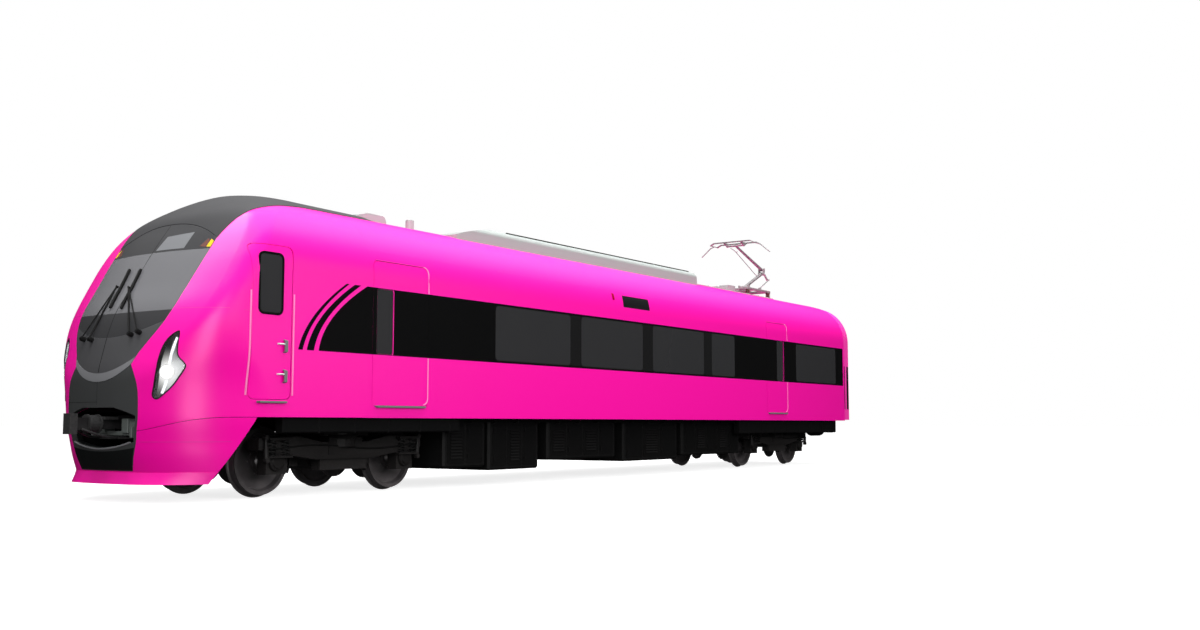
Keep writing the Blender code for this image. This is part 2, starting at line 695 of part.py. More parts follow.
def make_cab_shell(car, paint):
    """The moulded cab, with its windscreen opening, lamp openings and cab doorways."""
    mesh = nose_shell_mesh("cab_shell", SEAM_FRONT_Z - 0.05, SHELL_TOP_Z, CAB_REAR + GAP, CAB_SKIN)
    shell = link("cab_shell", mesh, paint["pink"], car)
    cuts = [
        prism_mesh("below_seam", seam_outline(), "x", 15.0, 19.4),
        front_cutter("windscreen_hole", windscreen_outline(), 0.0004),
        front_cutter("mask_hole", mask_outline(), 0.0004),
        front_cutter("panel_hole", panel_outline(), 0.0004),
    ]
    for side in (1, -1):
        cuts.append(front_cutter("lamp_hole", [(side * y, z) for y, z in HEADLIGHT], 0.0004))
        cuts += cab_doorway_meshes(side)
    combine(shell, "DIFFERENCE", cuts, car)
    return shell


def make_skin_piece(car, material, name, keep, thickness, low_z, high_z, cuts=(), origin=(0.0, 0.0, 0.0)):
    """The piece of the nose's surface that lies inside a keeping solid."""
    mesh = nose_shell_mesh(name, low_z, high_z, 16.9, thickness)
    obj = link(name, mesh, material, car, origin)
    combine(obj, "INTERSECT", [keep], car)
    combine(obj, "DIFFERENCE", list(cuts), car)
    return obj


def make_nose_pieces(car, paint):
    glass, dark, black, lamp = (paint[key] for key in ("glass", "hood", "black", "lamp"))
    keep = front_cutter("windscreen_outline", windscreen_outline())
    make_skin_piece(car, glass, "windscreen", keep, GLASS, 1.80, 3.62)
    keep = front_cutter("mask_outline", shrunk(mask_outline()))
    make_skin_piece(car, dark, "front_mask", keep, GLASS, 1.25, 2.3)
    keep = front_cutter("panel_outline", shrunk(panel_outline()))
    mouth = front_cutter("mouth", mouth_outline())
    make_skin_piece(car, black, "nose_panel", keep, CAB_SKIN, LIP_TOP_Z + GAP, 1.75, [mouth])
    for side in (1, -1):
        name = "headlight_left" if side > 0 else "headlight_right"
        keep = front_cutter(name + "_outline", [(side * y, z) for y, z in HEADLIGHT])
        make_skin_piece(car, lamp, name, keep, CAB_SKIN, 1.1, 2.1)


def shrunk(outline, amount=0.001):
    centre = np.mean(outline, axis=0)
    return [tuple(centre + (np.array(p) - centre) * (1 - amount)) for p in outline]


def make_skirt(car, paint):
    """The front skirt below the body line, with the flared lip along its lower edge."""
    rear_x = 17.10
    mesh = nose_shell_mesh("front_skirt", SKIRT_LOW_Z, BODY_BOTTOM + 0.02, rear_x, CAB_SKIN)
    skirt = link("front_skirt", mesh, paint["pink"], car)
    combine(skirt, "INTERSECT", [prism_mesh("under_seam", seam_outline(GAP), "x", 15.0, 19.4)], car)
    hole = front_cutter("panel_hole", panel_outline(), 0.0004)
    combine(skirt, "DIFFERENCE", [hole], car)
    combine(skirt, "UNION", [lip_mesh(rear_x)], car)
    top_x, top_z = SLANT_TOP
    back_x, over = 16.5, 0.1
    slant = [
        (back_x, 0.0), (top_x + SLANT_SLOPE * top_z, 0.0), (top_x - SLANT_SLOPE * over, top_z + over),
        (back_x, top_z + over),
    ]
    combine(skirt, "DIFFERENCE", [prism_mesh("slant", slant, "y", -2.0, 2.0)], car)
    return skirt


def make_hood(car, paint):
    """The dark fairing over the front of the roof, from the windscreen's upper edge back."""
    edge_y, edge_z = WINDSCREEN_SIDE[0]
    outer = []
    inner = []
    for t in np.sin(np.linspace(0, math.pi / 2, 20)):
        rows = ([], [])
        for s in np.linspace(-1, 1, 15):
            seam_y = edge_y * s
            seam_z = WINDSCREEN_TOP_Z + (edge_z - WINDSCREEN_TOP_Z) * abs(s) ** WINDSCREEN_TOP_POWER
            x = HOOD_REAR + t * (nose_surface_x(seam_y, seam_z) - HOOD_REAR)
            y = s * float(smooth_through(HOOD_HALF_WIDTH, [x])[0]) if t < 1 else seam_y
            base = surface_height(x, y) if t < 1 else seam_z
            rise = float(smooth_through(HOOD_RISE, [t])[0])
            rows[0].append((x, y, base + HOOD_EDGE + rise * (1 - s * s)))
            rows[1].append((x, y, base - HOOD_DEPTH))
        outer.append(rows[0])
        inner.append(rows[1])
    mesh = shell_from_grids("roof_hood", np.array(outer), np.array(inner), False)
    hood = link("roof_hood", mesh, paint["hood"], car)
    cab = nose_shell_mesh("cab_volume", 2.8, SHELL_TOP_Z, CAB_REAR + GAP, 0.2, GAP)
    roof = prism_mesh("roof_volume", full_section(-GAP, 1.0), "x", 13.0, CAB_REAR + 0.02)
    combine(hood, "DIFFERENCE", [cab, roof], car)
    return hood


def make_coupler(car, paint):
    """The front coupler: a flat head, a tapered neck, a drum and a long shank back to the underframe."""
    middle = 0.90
    head = block_mesh("coupler", (19.10, COUPLER_FRONT), (-0.065, 0.065), (0.78, 1.02))
    obj = link("coupler", head, paint["under"], car)
    neck_outline = [(18.94, 0.045), (18.94, -0.045), (19.12, -0.06), (19.12, 0.06)]
    drum = [(18.80, 0.0), (18.80, 0.10), (18.96, 0.10), (18.96, 0.0)]
    parts = [
        prism_mesh("coupler_neck", neck_outline, "z", middle - 0.07, middle + 0.07),
        turned_mesh("coupler_drum", drum, "x", (0.0, 0.0, middle), 16),
        block_mesh("coupler_shank", (17.30, 18.82), (-0.065, 0.065), (middle - 0.06, middle + 0.06)),
        block_mesh("coupler_bracket", (18.28, 18.42), (-0.16, 0.16), (0.74, 1.00)),
        block_mesh("support_plate", (18.20, 18.64), (-0.20, 0.20), (0.72, 0.745)),
        block_mesh("coupler_hanger", (17.20, 17.50), (-0.20, 0.20), (0.80, FLOOR_LOW - GAP)),
    ]
    combine(obj, "UNION", parts, car)
    return obj


def make_coupler_pocket(car, paint):
    """The dark box behind the mouth, open to the front, which hangs under the cab floor round the coupler."""
    top = FLOOR_LOW - GAP
    wall = 0.02
    half = 0.68
    box = block_mesh("coupler_pocket", (17.58, 18.58), (-half, half), (0.60, top))
    obj = link("coupler_pocket", box, paint["under"], car)
    inside = block_mesh("pocket_space", (17.58 + wall, 19.0), (wall - half, half - wall), (0.60 + wall, top - wall))
    slot = block_mesh("shank_slot", (17.0, 18.0), (-0.12, 0.12), (0.76, 1.03))
    combine(obj, "DIFFERENCE", [inside, slot], car)
    return obj


def make_cab_inside(car, paint):
    """The wall behind the cab, the desk and the driver's seat."""
    half = SIDE_Y - CAB_SKIN - GAP
    stand = FLOOR_TOP + GAP
    outline = mirrored([(1.2, 3.35), (1.40, 3.15), (half, 2.75), (half, stand)])
    wall = link("cab_bulkhead", prism_mesh("cab_bulkhead", outline, "x", 16.50, 16.56), paint["inside"], car)
    combine(wall, "DIFFERENCE", [block_mesh("cab_inner_doorway", (16, 17), (-0.36, 0.36), (1.18, 3.05))], car)
    desk = [(17.95, stand), (18.12, stand), (18.28, 1.75), (18.30, 2.02), (17.98, 2.02), (17.88, 1.90), (17.95, 1.80)]
    link("driver_desk", prism_mesh("driver_desk", desk, "y", -0.85, 0.85), paint["hood"], car)
    seat = [
        (17.15, stand), (17.45, stand), (17.40, 1.20), (17.36, 1.50), (17.56, 1.52), (17.56, 1.62),
        (17.20, 1.62), (17.10, 2.45), (16.98, 2.45), (17.06, 1.52), (17.22, 1.50), (17.20, 1.20),
    ]
    link("driver_seat", prism_mesh("driver_seat", seat, "y", 0.18, 0.68), paint["seat"], car)


def make_cab_door(car, paint, side):
    """A cab door leaf with its window, hung on the front post and opening inwards."""
    hand = "left" if side > 0 else "right"
    hinge = (CAB_DOOR[1], side * CAB_HINGE_Y, 0.0)
    reach = sorted((side * CAB_DOOR_INNER_Y, side * 1.8))
    window_corner = 0.07
    keep = prism_mesh("leaf_outline", rounded_outline(CAB_DOOR, CAB_DOOR_Z, CAB_DOOR_CORNER), "y", *reach)
    hole = prism_mesh("window_hole", rounded_outline(CAB_WINDOW_X, CAB_WINDOW_Z, window_corner), "y", *reach)
    make_skin_piece(car, paint["pink"], f"cab_door_{hand}", keep, CAB_DOOR_SKIN, 1.0, 3.3, [hole], hinge)
    pane_x = (CAB_WINDOW_X[0] + GAP, CAB_WINDOW_X[1] - GAP)
    pane_z = (CAB_WINDOW_Z[0] + GAP, CAB_WINDOW_Z[1] - GAP)
    pane = prism_mesh("pane_outline", rounded_outline(pane_x, pane_z, window_corner), "y", *reach)
    make_skin_piece(car, paint["glass"], f"cab_door_glass_{hand}", pane, GLASS, 1.9, 3.3, (), hinge)


def make_saloon_door(car, paint, side, place, doorway, pane_x):
    """A passenger door leaf, flush in its doorway, with its window."""
    hand = "left" if side > 0 else "right"
    name = f"{place}_door_{hand}"
    skin = 0.06
    low, high = DOOR_SILL_Z + GAP, DOOR_Z[1] - RUNNING_GAP
    outer = [p for p in section_points(0.0, low) if p[1] < high - 0.002]
    outer.append((body_half_width(high), high))
    outline = [(side * y, z) for y, z in outer] + [(side * (SIDE_Y - skin), high), (side * (SIDE_Y - skin), low)]
    x = (doorway[0] + GAP, doorway[1] - RUNNING_GAP)
    leaf = link(name, prism_mesh(name, outline, "x", *x, 40), paint["pink"], car)
    hole = block_mesh("pane_hole", pane_x, sorted((side * 1.3, side * 1.8)), DOOR_PANE_Z)
    combine(leaf, "DIFFERENCE", [hole], car)
    pane_y = sorted((side * (SIDE_Y - 0.03), side * (SIDE_Y - 0.002)))
    inner_x = (pane_x[0] + GAP, pane_x[1] - GAP)
    pane = block_mesh(f"{place}_door_glass_{hand}", inner_x, pane_y, (DOOR_PANE_Z[0] + GAP, DOOR_PANE_Z[1] - GAP))
    link(pane.name, pane, paint["glass"], car)


def make_seats(car, paint, side):
    """A row of double seats on one rail, facing forward."""
    hand = "left" if side > 0 else "right"
    pitch = 0.95
    rail_top = FLOOR_TOP + 0.12
    seat = [
        (0.0, rail_top), (0.0, 1.55), (-0.40, 1.57), (-0.52, 2.30), (-0.62, 2.30), (-0.52, 1.45), (-0.20, 1.43),
        (-0.20, rail_top),
    ]
    outline = [(4.90, FLOOR_TOP + GAP), (14.20, FLOOR_TOP + GAP), (14.20, rail_top)]
    for i in range(9):
        outline += [(13.95 - i * pitch + x, z) for x, z in seat]
    outline.append((4.90, rail_top))
    mesh = prism_mesh(f"seats_{hand}", outline, "y", *sorted((side * 0.42, side * 1.38)))
    link(f"seats_{hand}", mesh, paint["seat"], car)


# Running gear

def wheelset_profile():
    """The right half's mirror and the left half of axle, wheels and journals, as (y, radius)."""
    flange = TREAD_RADIUS + FLANGE_HEIGHT
    half = [
        (0.63, 0.075), (0.66, 0.14), (0.70, 0.36), (0.68, 0.37), (0.68, flange - 0.012), (0.692, flange),
        (0.716, TREAD_RADIUS), (0.815, TREAD_RADIUS - 0.004), (0.815, 0.37), (0.745, 0.36), (0.74, 0.14), (0.80, 0.14),
        (0.84, JOURNAL_RADIUS), (JOURNAL_END_Y, JOURNAL_RADIUS), (JOURNAL_END_Y, 0.0),
    ]
    return [(-y, r) for y, r in reversed(half)] + half


def make_bogie(car, paint, place, pivot_x):
    """A bogie frame on its pivot, with its motors and springs, and its two wheelsets."""
    name = f"bogie_frame_{place}"
    origin = (pivot_x, 0.0, BOLSTER_LOW - GAP)
    reach = WHEELBASE / 2
    mesh = block_mesh(name, (pivot_x - 0.30, pivot_x + 0.30), (-1.12, 1.12), (0.50, 0.72))
    frame = link(name, mesh, paint["under"], car, origin)
    parts = []
    beam = [
        (-1.45, 0.58), (-1.45, 0.72), (-0.8, 0.74), (-0.4, 0.66), (0.4, 0.66), (0.8, 0.74), (1.45, 0.72), (1.45, 0.58),
        (0.5, 0.44), (-0.5, 0.44),
    ]
    beam = [(pivot_x + x, z) for x, z in beam]
    spring = [(0.60, 0.0), (0.60, 0.20), (0.70, 0.20), (0.76, 0.26), (0.90, 0.26), (0.92, 0.22), (0.92, 0.0)]
    for side in (1, -1):
        parts.append(prism_mesh("side_beam", beam, "y", *sorted((side * 0.90, side * 1.11))))
        parts.append(turned_mesh("air_spring", spring, "z", (pivot_x, side * 1.0, 0.0), 16))
        case_y = sorted((side * 0.92, side * 1.08))
        parts.append(block_mesh("side_case", (pivot_x - 0.42, pivot_x + 0.42), case_y, (0.30, 0.50)))
        for end in (1, -1):
            x = pivot_x + end * reach
            box_y = sorted((side * 0.925, side * 1.085))
            parts.append(block_mesh("axle_box", (x - 0.16, x + 0.16), box_y, (0.27, 0.60)))
    boss = [(0.60, 0.0), (0.60, 0.16), (BOLSTER_LOW - GAP, 0.16), (BOLSTER_LOW - GAP, 0.0)]
    parts.append(turned_mesh("pivot_boss", boss, "z", (pivot_x, 0.0, 0.0), 16))
    motor = [(-0.50, 0.0), (-0.50, 0.24), (0.20, 0.24), (0.20, 0.0)]
    for end in (1, -1):
        parts.append(turned_mesh("motor", motor, "y", (pivot_x + end * 0.50, end * 0.15, 0.50), 16))
    combine(frame, "UNION", parts, car)
    bore = JOURNAL_RADIUS + 0.0008
    holes = []
    for end in (1, -1):
        for side in (1, -1):
            hole = [(side * 1.3, 0.0), (side * 1.3, bore), (side * 0.9, bore), (side * 0.9, 0.0)]
            holes.append(turned_mesh("axle_hole", hole, "y", (pivot_x + end * reach, 0.0, TREAD_RADIUS)))
    combine(frame, "DIFFERENCE", holes, car)
    for label, end in (("leading", 1), ("trailing", -1)):
        centre = (pivot_x + end * reach, 0.0, TREAD_RADIUS)
        name = f"wheelset_{place}_{label}"
        link(name, turned_mesh(name, wheelset_profile(), "y", centre), paint["steel"], car, centre)


# Underfloor and roof equipment

def make_underfloor(car, paint):
    """The equipment cases under the floor, each as one block."""
    cases = [
        ("brake_case", (13.177, 14.12), 0.26), ("battery_case", (11.85, 13.10), 0.20),
        ("converter_case", (9.62, 11.61), 0.32), ("compressor_case", (7.48, 9.36), 0.24),
        ("inverter_case", (4.95, 7.30), 0.30),
    ]
    for name, x, low in cases:
        obj = link(name, block_mesh(name, x, (-1.28, 1.28), (low, BODY_BOTTOM - GAP)), paint["under"], car)
        chamfer(obj, 0.03)


def roof_cutter():
    """The volume of the roof, for the undersides of what stands on it."""
    return prism_mesh("roof_volume", full_section(-GAP, 1.0), "x", -1.0, 17.0)


def make_roof_equipment(car, paint):
    """The long air conditioner, the aerial, and the small cases by the pantograph."""
    shoulder = [(0.0, 3.99), (0.80, 3.985), (0.88, 3.965), (0.93, 3.93), (AIR_UNIT_Y, 3.87), (AIR_UNIT_Y, 3.50)]
    section = mirrored(shoulder)[1:]
    unit = link("air_conditioner", prism_mesh("air_conditioner", section, "x", *AIR_UNIT_X, 40), paint["grey"], car)
    front, rear = AIR_UNIT_X[1], AIR_UNIT_X[0]
    slope = [(front, 3.78), (12.67, 3.967), (12.20, 3.99), (12.20, 4.20), (front + 0.2, 4.20), (front + 0.2, 3.78)]
    bevel = [(rear, 3.90), (rear + 0.09, 3.99), (rear + 0.09, 4.20), (rear - 0.2, 4.20), (rear - 0.2, 3.90)]
    cuts = [prism_mesh("end_slope", outline, "y", -1.2, 1.2) for outline in (slope, bevel)]
    combine(unit, "DIFFERENCE", cuts + [roof_cutter()], car)
    aerial_side = [(14.095, 3.50), (14.095, 3.96), (14.20, 4.053), (14.49, 4.057), (14.73, 3.99), (14.73, 3.50)]
    aerial = link("aerial_case", prism_mesh("aerial_case", aerial_side, "y", -0.05, 0.05), paint["grey"], car)
    combine(aerial, "DIFFERENCE", [roof_cutter()], car)
    for name, x, half, top in ROOF_CASES:
        case = link(name, block_mesh(name, x, (-half, half), (3.50, top)), paint["grey"], car)
        combine(case, "DIFFERENCE", [roof_cutter()], car)
    foot = CROWN_Z + GAP
    stub = [(foot, 0.0), (foot, 0.10), (3.88, 0.10), (3.90, 0.066), (4.07, 0.066), (4.08, 0.055), (4.08, 0.0)]
    link("aerial_stub", turned_mesh("aerial_stub", stub, "z", (13.53, 0.0, 0.0), 16), paint["grey"], car)


def cross_rod(name, place, from_y, to_y, radius, steps=14):
    """A round piece across the car at a place given as (x, z)."""
    return rod_mesh(name, (place[0], from_y, place[1]), (place[0], to_y, place[1]), radius, steps)


def make_pantograph_base(car, paint):
    """The frame on its four insulators, with the lugs of the two lower pivots and the spring case."""
    low, high = PANTO_BASE_Z
    near, far = PANTO_RAIL_Y
    start, end = PANTO_BASE_X
    rail = block_mesh("pantograph_base", (start, end), (near, far), (low, high))
    base = link("pantograph_base", rail, paint["grey"], car)
    parts = [block_mesh("base_rail", (start, end), (-far, -near), (low, high))]
    between = (-near - 0.02, near + 0.02)
    for x in (start + 0.04, PANTO_PIVOT[0], end - 0.04):
        parts.append(block_mesh("base_cross", (x - 0.04, x + 0.04), between, (low + 0.004, high - 0.02)))
    insulator = [(3.70, 0.0), (3.70, 0.05), (3.90, 0.05), (3.93, 0.035), (low + 0.01, 0.035), (low + 0.01, 0.0)]
    for x in (start + 0.08, end - 0.08):
        for y in (-(near + far) / 2, (near + far) / 2):
            parts.append(turned_mesh("insulator", insulator, "z", (x, y, 0.0), 10))
    px, pz = PANTO_PIVOT
    lug = [(px - 0.06, high - 0.04), (px + 0.06, high - 0.04), (px + 0.05, pz + 0.05), (px - 0.05, pz + 0.05)]
    for y in (-0.13, 0.10):
        parts.append(prism_mesh("pivot_lug", lug, "y", y, y + 0.03))
    fx, fz = PANTO_ROD_FOOT
    rod_lug = [(fx - 0.05, high - 0.04), (fx + 0.05, high - 0.04), (fx + 0.03, fz + 0.03), (fx - 0.03, fz + 0.03)]
    parts.append(prism_mesh("rod_lug", rod_lug, "y", 0.12, 0.15))
    parts.append(block_mesh("rod_cross", (fx - 0.05, fx + 0.05), between, (low + 0.004, high - 0.004)))
    parts.append(block_mesh("spring_case", (1.70, 1.90), (-0.18, -0.09), (low, 4.13)))
    parts.append(rod_mesh("spring_rod", (1.85, -0.16, 4.09), (end - 0.04, -0.16, low + 0.02), 0.016, 8))
    parts.append(block_mesh("spring_foot", (1.64, 1.96), (between[0], -0.05), (low + 0.004, high - 0.004)))
    combine(base, "UNION", parts, car)
    combine(base, "DIFFERENCE", [roof_cutter()], car)


def make_pantograph_arms(car, paint):
    """The lower arm, the coupling rod beside it, and the upper arm, whose fork turns round the knee."""
    px, pz = PANTO_PIVOT
    kx, kz = PANTO_KNEE
    hx, hz = PANTO_HEAD
    tube = rod_mesh("pantograph_lower_arm", (px, 0, pz), (kx, 0, kz), 0.038, 14)
    lower = link("pantograph_lower_arm", tube, paint["grey"], car, (px, 0, pz))
    sleeves = [
        cross_rod("lower_pivot", PANTO_PIVOT, GAP - 0.10, 0.10 - GAP, 0.045),
        cross_rod("knee_sleeve", PANTO_KNEE, -KNEE_HALF, KNEE_HALF, 0.04),
    ]
    combine(lower, "UNION", sleeves, car)
    along = Vector((hx - kx, 0, hz - kz)).normalized()
    above = Vector((-along.z, 0, along.x))
    start = Vector((kx, 0, kz)) + UPPER_ARM_OFFSET * above + 0.03 * along
    upper_tube = tapered_rod("pantograph_upper_arm", start, (hx, 0, hz), 0.037, 0.026)
    upper = link("pantograph_upper_arm", upper_tube, paint["grey"], car, (kx, 0, kz))
    parts = [
        cross_rod("fork_bridge", (start.x, start.z), -FORK_Y, FORK_Y, 0.036),
        cross_rod("head_sleeve", PANTO_HEAD, -0.20, 0.20, 0.024),
    ]
    for side in (1, -1):
        inner, outer = side * (KNEE_HALF + GAP), side * FORK_Y
        parts.append(cross_rod("knee_eye", PANTO_KNEE, inner, outer, 0.045))
        parts.append(rod_plate("knee_cheek", PANTO_KNEE, (start.x, start.z), 0.03, sorted((inner, outer))))
    parts.append(rod_plate("crank", PANTO_KNEE, PANTO_CRANK, 0.025, (0.055, 0.08)))
    combine(upper, "UNION", parts, car)
    fx, fz = PANTO_ROD_FOOT
    cx, cz = PANTO_CRANK
    rod_y = 0.104
    rod = rod_mesh("pantograph_coupling_rod", (fx, rod_y, fz), (cx, rod_y, cz), 0.013, 10)
    coupling = link("pantograph_coupling_rod", rod, paint["grey"], car, (fx, rod_y, fz))
    eyes = [
        cross_rod("rod_foot", PANTO_ROD_FOOT, 0.09, 0.12 - GAP, 0.026),
        cross_rod("rod_eye", PANTO_CRANK, 0.09, 0.118, 0.024),
    ]
    combine(coupling, "UNION", eyes, car)


def tapered_rod(name, start, end, first, second):
    """A round tube that tapers from one radius to another."""
    a, b = Vector(start), Vector(end)
    profile = [(0.0, 0.0), (0.0, first), ((b - a).length, second), ((b - a).length, 0.0)]
    mesh = turned_mesh(name, profile, "x", (0, 0, 0), 14)
    mesh.transform((b - a).to_track_quat("X", "Y").to_matrix().to_4x4())
    for vertex in mesh.vertices:
        vertex.co += a
    return mesh


def rod_plate(name, start, end, half, y):
    """A flat bar across y, from one place to another, each given as (x, z)."""
    a, b = Vector((start[0], start[1])), Vector((end[0], end[1]))
    side = Vector((-(b - a).y, (b - a).x)).normalized() * half
    return prism_mesh(name, [tuple(a + side), tuple(b + side), tuple(b - side), tuple(a - side)], "y", *y)


def make_pantograph_head(car, paint):
    """The head: two end plates on the cross tube's ends, two contact strips and a horn at each end."""
    hx, hz = PANTO_HEAD
    strip_x = (2.41, 2.75)
    middle = sum(strip_x) / 2
    low, top = 5.083, 5.105
    flat_y, end_y, end_low = 0.47, 0.56, 5.035
    outline = [(flat_y, top), (end_y, end_low + 0.025), (end_y, end_low), (flat_y, low)]
    strips = [prism_mesh("pantograph_head", mirrored(outline), "x", x - 0.025, x + 0.025) for x in strip_x]
    head = link("pantograph_head", strips[0], paint["grey"], car, (hx, 0, hz))
    parts = [strips[1]]
    for side in (1, -1):
        inner, outer = sorted((side * (0.20 + GAP), side * 0.23))
        parts.append(cross_rod("head_eye", PANTO_HEAD, inner, outer, 0.03))
        plate = [
            (strip_x[0] - 0.02, low + 0.01), (hx - 0.03, hz - 0.01), (hx + 0.03, hz - 0.01),
            (strip_x[1] + 0.02, low + 0.01),
        ]
        parts.append(prism_mesh("end_plate", plate, "y", inner, outer))
        y = side * (end_y - 0.01)
        parts.append(rod_mesh("end_bar", (strip_x[0], y, end_low + 0.012), (strip_x[1], y, end_low + 0.012), 0.01, 8))
        horn = [(middle, y, end_low + 0.012), (middle, side * 0.66, 5.01), (middle, side * 0.886, 4.82)]
        parts.append(rod_mesh("horn", horn[0], horn[1], 0.012, 8))
        parts.append(rod_mesh("horn", (middle, side * 0.65, 5.0134), horn[2], 0.012, 8))
    combine(head, "UNION", parts, car)


def main():
    clear_scene()
    paint = make_finishes()
    car = bpy.data.objects.new("car_frame", None)
    bpy.context.scene.collection.objects.link(car)
    car.location = (-X_MID, 0.0, FLANGE_HEIGHT)
    make_underframe(car, paint)
    make_roof(car, paint)
    make_rear_end(car, paint)
    make_cab_shell(car, paint)
    make_nose_pieces(car, paint)
    make_skirt(car, paint)
    make_hood(car, paint)
    make_coupler(car, paint)
    make_coupler_pocket(car, paint)
    make_cab_inside(car, paint)
    for side in (1, -1):
        make_side_wall(car, paint, side)
        make_bands(car, paint, side)
        make_cab_door(car, paint, side)
        make_saloon_door(car, paint, side, "front", FRONT_DOOR, (15.493, 15.793))
        make_saloon_door(car, paint, side, "rear", REAR_DOOR, (3.399, 3.692))
        make_seats(car, paint, side)
    make_bogie(car, paint, "front", FRONT_PIVOT_X)
    make_bogie(car, paint, "rear", REAR_PIVOT_X)
    make_underfloor(car, paint)
    make_roof_equipment(car, paint)
    make_pantograph_base(car, paint)
    make_pantograph_arms(car, paint)
    make_pantograph_head(car, paint)


main()
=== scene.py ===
# %% [markdown]
# # The leading car of an electric express train
# The shapes that move are already there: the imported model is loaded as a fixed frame, with one empty for
# each body. Every cell below makes one part of the car's looks and hangs it on the body that carries it, so
# the doors, wheels and pantograph still move. All places are given in the car's own frame: x forward from
# the rear end of the body, y to the left, z up from the top of the rail.

# %% Load the frame
import math

import bmesh
import bpy
import numpy as np
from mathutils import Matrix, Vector


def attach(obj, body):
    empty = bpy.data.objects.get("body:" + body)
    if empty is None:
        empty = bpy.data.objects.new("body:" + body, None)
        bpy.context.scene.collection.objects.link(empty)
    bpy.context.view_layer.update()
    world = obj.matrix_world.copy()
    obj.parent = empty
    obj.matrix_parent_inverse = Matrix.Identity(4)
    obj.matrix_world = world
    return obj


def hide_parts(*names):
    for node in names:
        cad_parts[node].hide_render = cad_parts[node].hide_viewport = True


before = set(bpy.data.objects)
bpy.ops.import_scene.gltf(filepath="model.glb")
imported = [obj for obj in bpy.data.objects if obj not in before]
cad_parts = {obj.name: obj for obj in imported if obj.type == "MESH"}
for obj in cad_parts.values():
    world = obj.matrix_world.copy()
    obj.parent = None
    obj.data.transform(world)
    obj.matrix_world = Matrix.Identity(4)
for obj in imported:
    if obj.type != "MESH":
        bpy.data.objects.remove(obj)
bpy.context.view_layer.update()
CAR = (-9.45, 0.0, 0.028)  # from the car's own frame to the world
HANDS = ((1, "left"), (-1, "right"))

# %% [markdown]
# ## Shapes as points and faces
# A Blender mesh is a list of points and a list of faces. Each helper here gives back such a pair, so that
# small shapes, such as forty bolts, can be joined into one piece before an object is made. A turned shape
# (a lathe) suits wheels and lamps, a pushed outline (a prism) suits plates and cases, and a tube along a
# path suits pipes.

# %% Basic shapes
def span(side, near, far):
    """The range in y between two distances from the middle, on one side of the car."""
    return sorted((side * near, side * far))


def join(*shapes):
    """Several shapes as one pair of points and faces."""
    points, faces = [], []
    for shape_points, shape_faces in shapes:
        start = len(points)
        points += [tuple(p) for p in shape_points]
        faces += [[start + i for i in face] for face in shape_faces]
    return points, faces


def prism(outline, axis, low, high):
    """An outline pushed along an axis. It holds the two other coordinates in order."""
    index = "xyz".index(axis)
    points = []
    for value in (low, high):
        for pair in outline:
            point = list(pair)
            point.insert(index, value)
            points.append(point)
    count = len(outline)
    faces = [list(range(count)), list(range(2 * count - 1, count - 1, -1))]
    faces += [[i, (i + 1) % count, count + (i + 1) % count, count + i] for i in range(count)]
    return points, faces


def block(x, y, z):
    return prism([(x[0], y[0]), (x[1], y[0]), (x[1], y[1]), (x[0], y[1])], "z", z[0], z[1])


def lathe(profile, axis, centre, steps=48):
    """A closed shape turned about a line along an axis. The profile holds (place on the line, radius)."""
    index = "xyz".index(axis)
    u, v = [i for i in range(3) if i != index]
    points, faces, rings = [], [], []
    for place, radius in profile:
        ring = []
        for step in range(steps if radius > 0 else 1):
            angle = 2 * math.pi * step / steps
            point = list(centre)
            point[index] += place
            point[u] += radius * math.sin(angle)
            point[v] -= radius * math.cos(angle)
            ring.append(len(points))
            points.append(point)
        rings.append(ring)
    for a, b in zip(rings, rings[1:]):
        for step in range(steps):
            after = (step + 1) % steps
            face = [a[step % len(a)], b[step % len(b)], b[after % len(b)], a[after % len(a)]]
            faces.append(list(dict.fromkeys(face)))
    return points, faces


def sweep(path, section, normals=None, closed=False):
    """A section of (across, outward) pairs carried along a path, with caps unless the path is closed."""
    path = [Vector(p) for p in path]
    count = len(path)
    points, faces = [], []
    side = None
    for i, here in enumerate(path):
        before = path[i - 1] if i or closed else here
        after = path[(i + 1) % count] if i < count - 1 or closed else here
        along = (after - before).normalized()
        if normals is not None:
            side = along.cross(Vector(normals[i])).normalized()
        elif side is None:
            side = along.orthogonal().normalized()
        else:
            side = (side - along * side.dot(along)).normalized()
        out = side.cross(along).normalized()
        points += [tuple(here + side * a + out * b) for a, b in section]
    size = len(section)
    for i in range(count if closed else count - 1):
        a, b = i * size, (i + 1) % count * size
        faces += [[a + k, a + (k + 1) % size, b + (k + 1) % size, b + k] for k in range(size)]
    if not closed:
        faces += [list(range(size)), list(range(count * size - 1, (count - 1) * size - 1, -1))]
    return points, faces


def stack(rings):
    """A closed shape through flat rings that have the same number of points."""
    count = len(rings[0])
    last = (len(rings) - 1) * count
    faces = [list(range(count)), list(range(last + count - 1, last - 1, -1))]
    for low in range(0, last, count):
        high = low + count
        faces += [[low + i, low + (i + 1) % count, high + (i + 1) % count, high + i] for i in range(count)]
    return [point for ring in rings for point in ring], faces


def circle(radius, steps=10):
    turns = [2 * math.pi * i / steps for i in range(steps)]
    return [(radius * math.cos(t), radius * math.sin(t)) for t in turns]


def tube(path, radius, steps=10):
    return sweep(path, circle(radius, steps))


def ribbon(path, normals, width, proud, depth=0.004, closed=False):
    """A flat strip laid on a surface, standing proud of it and reaching a little into it."""
    half = width / 2
    section = [(-half, -depth), (-half, proud * 0.5), (-half * 0.7, proud), (half * 0.7, proud),
               (half, proud * 0.5), (half, -depth)]
    return sweep(path, section, normals, closed)


def bolts(places, axis, radius=0.012, height=0.008):
    """Six-sided bolt heads at places, standing along an axis (negative height for the other way)."""
    profile = [(0.0, 0.0), (0.0, radius), (height * 0.8, radius), (height, radius * 0.8), (height, 0.0)]
    return join(*[lathe(profile, axis, place, 6) for place in places])


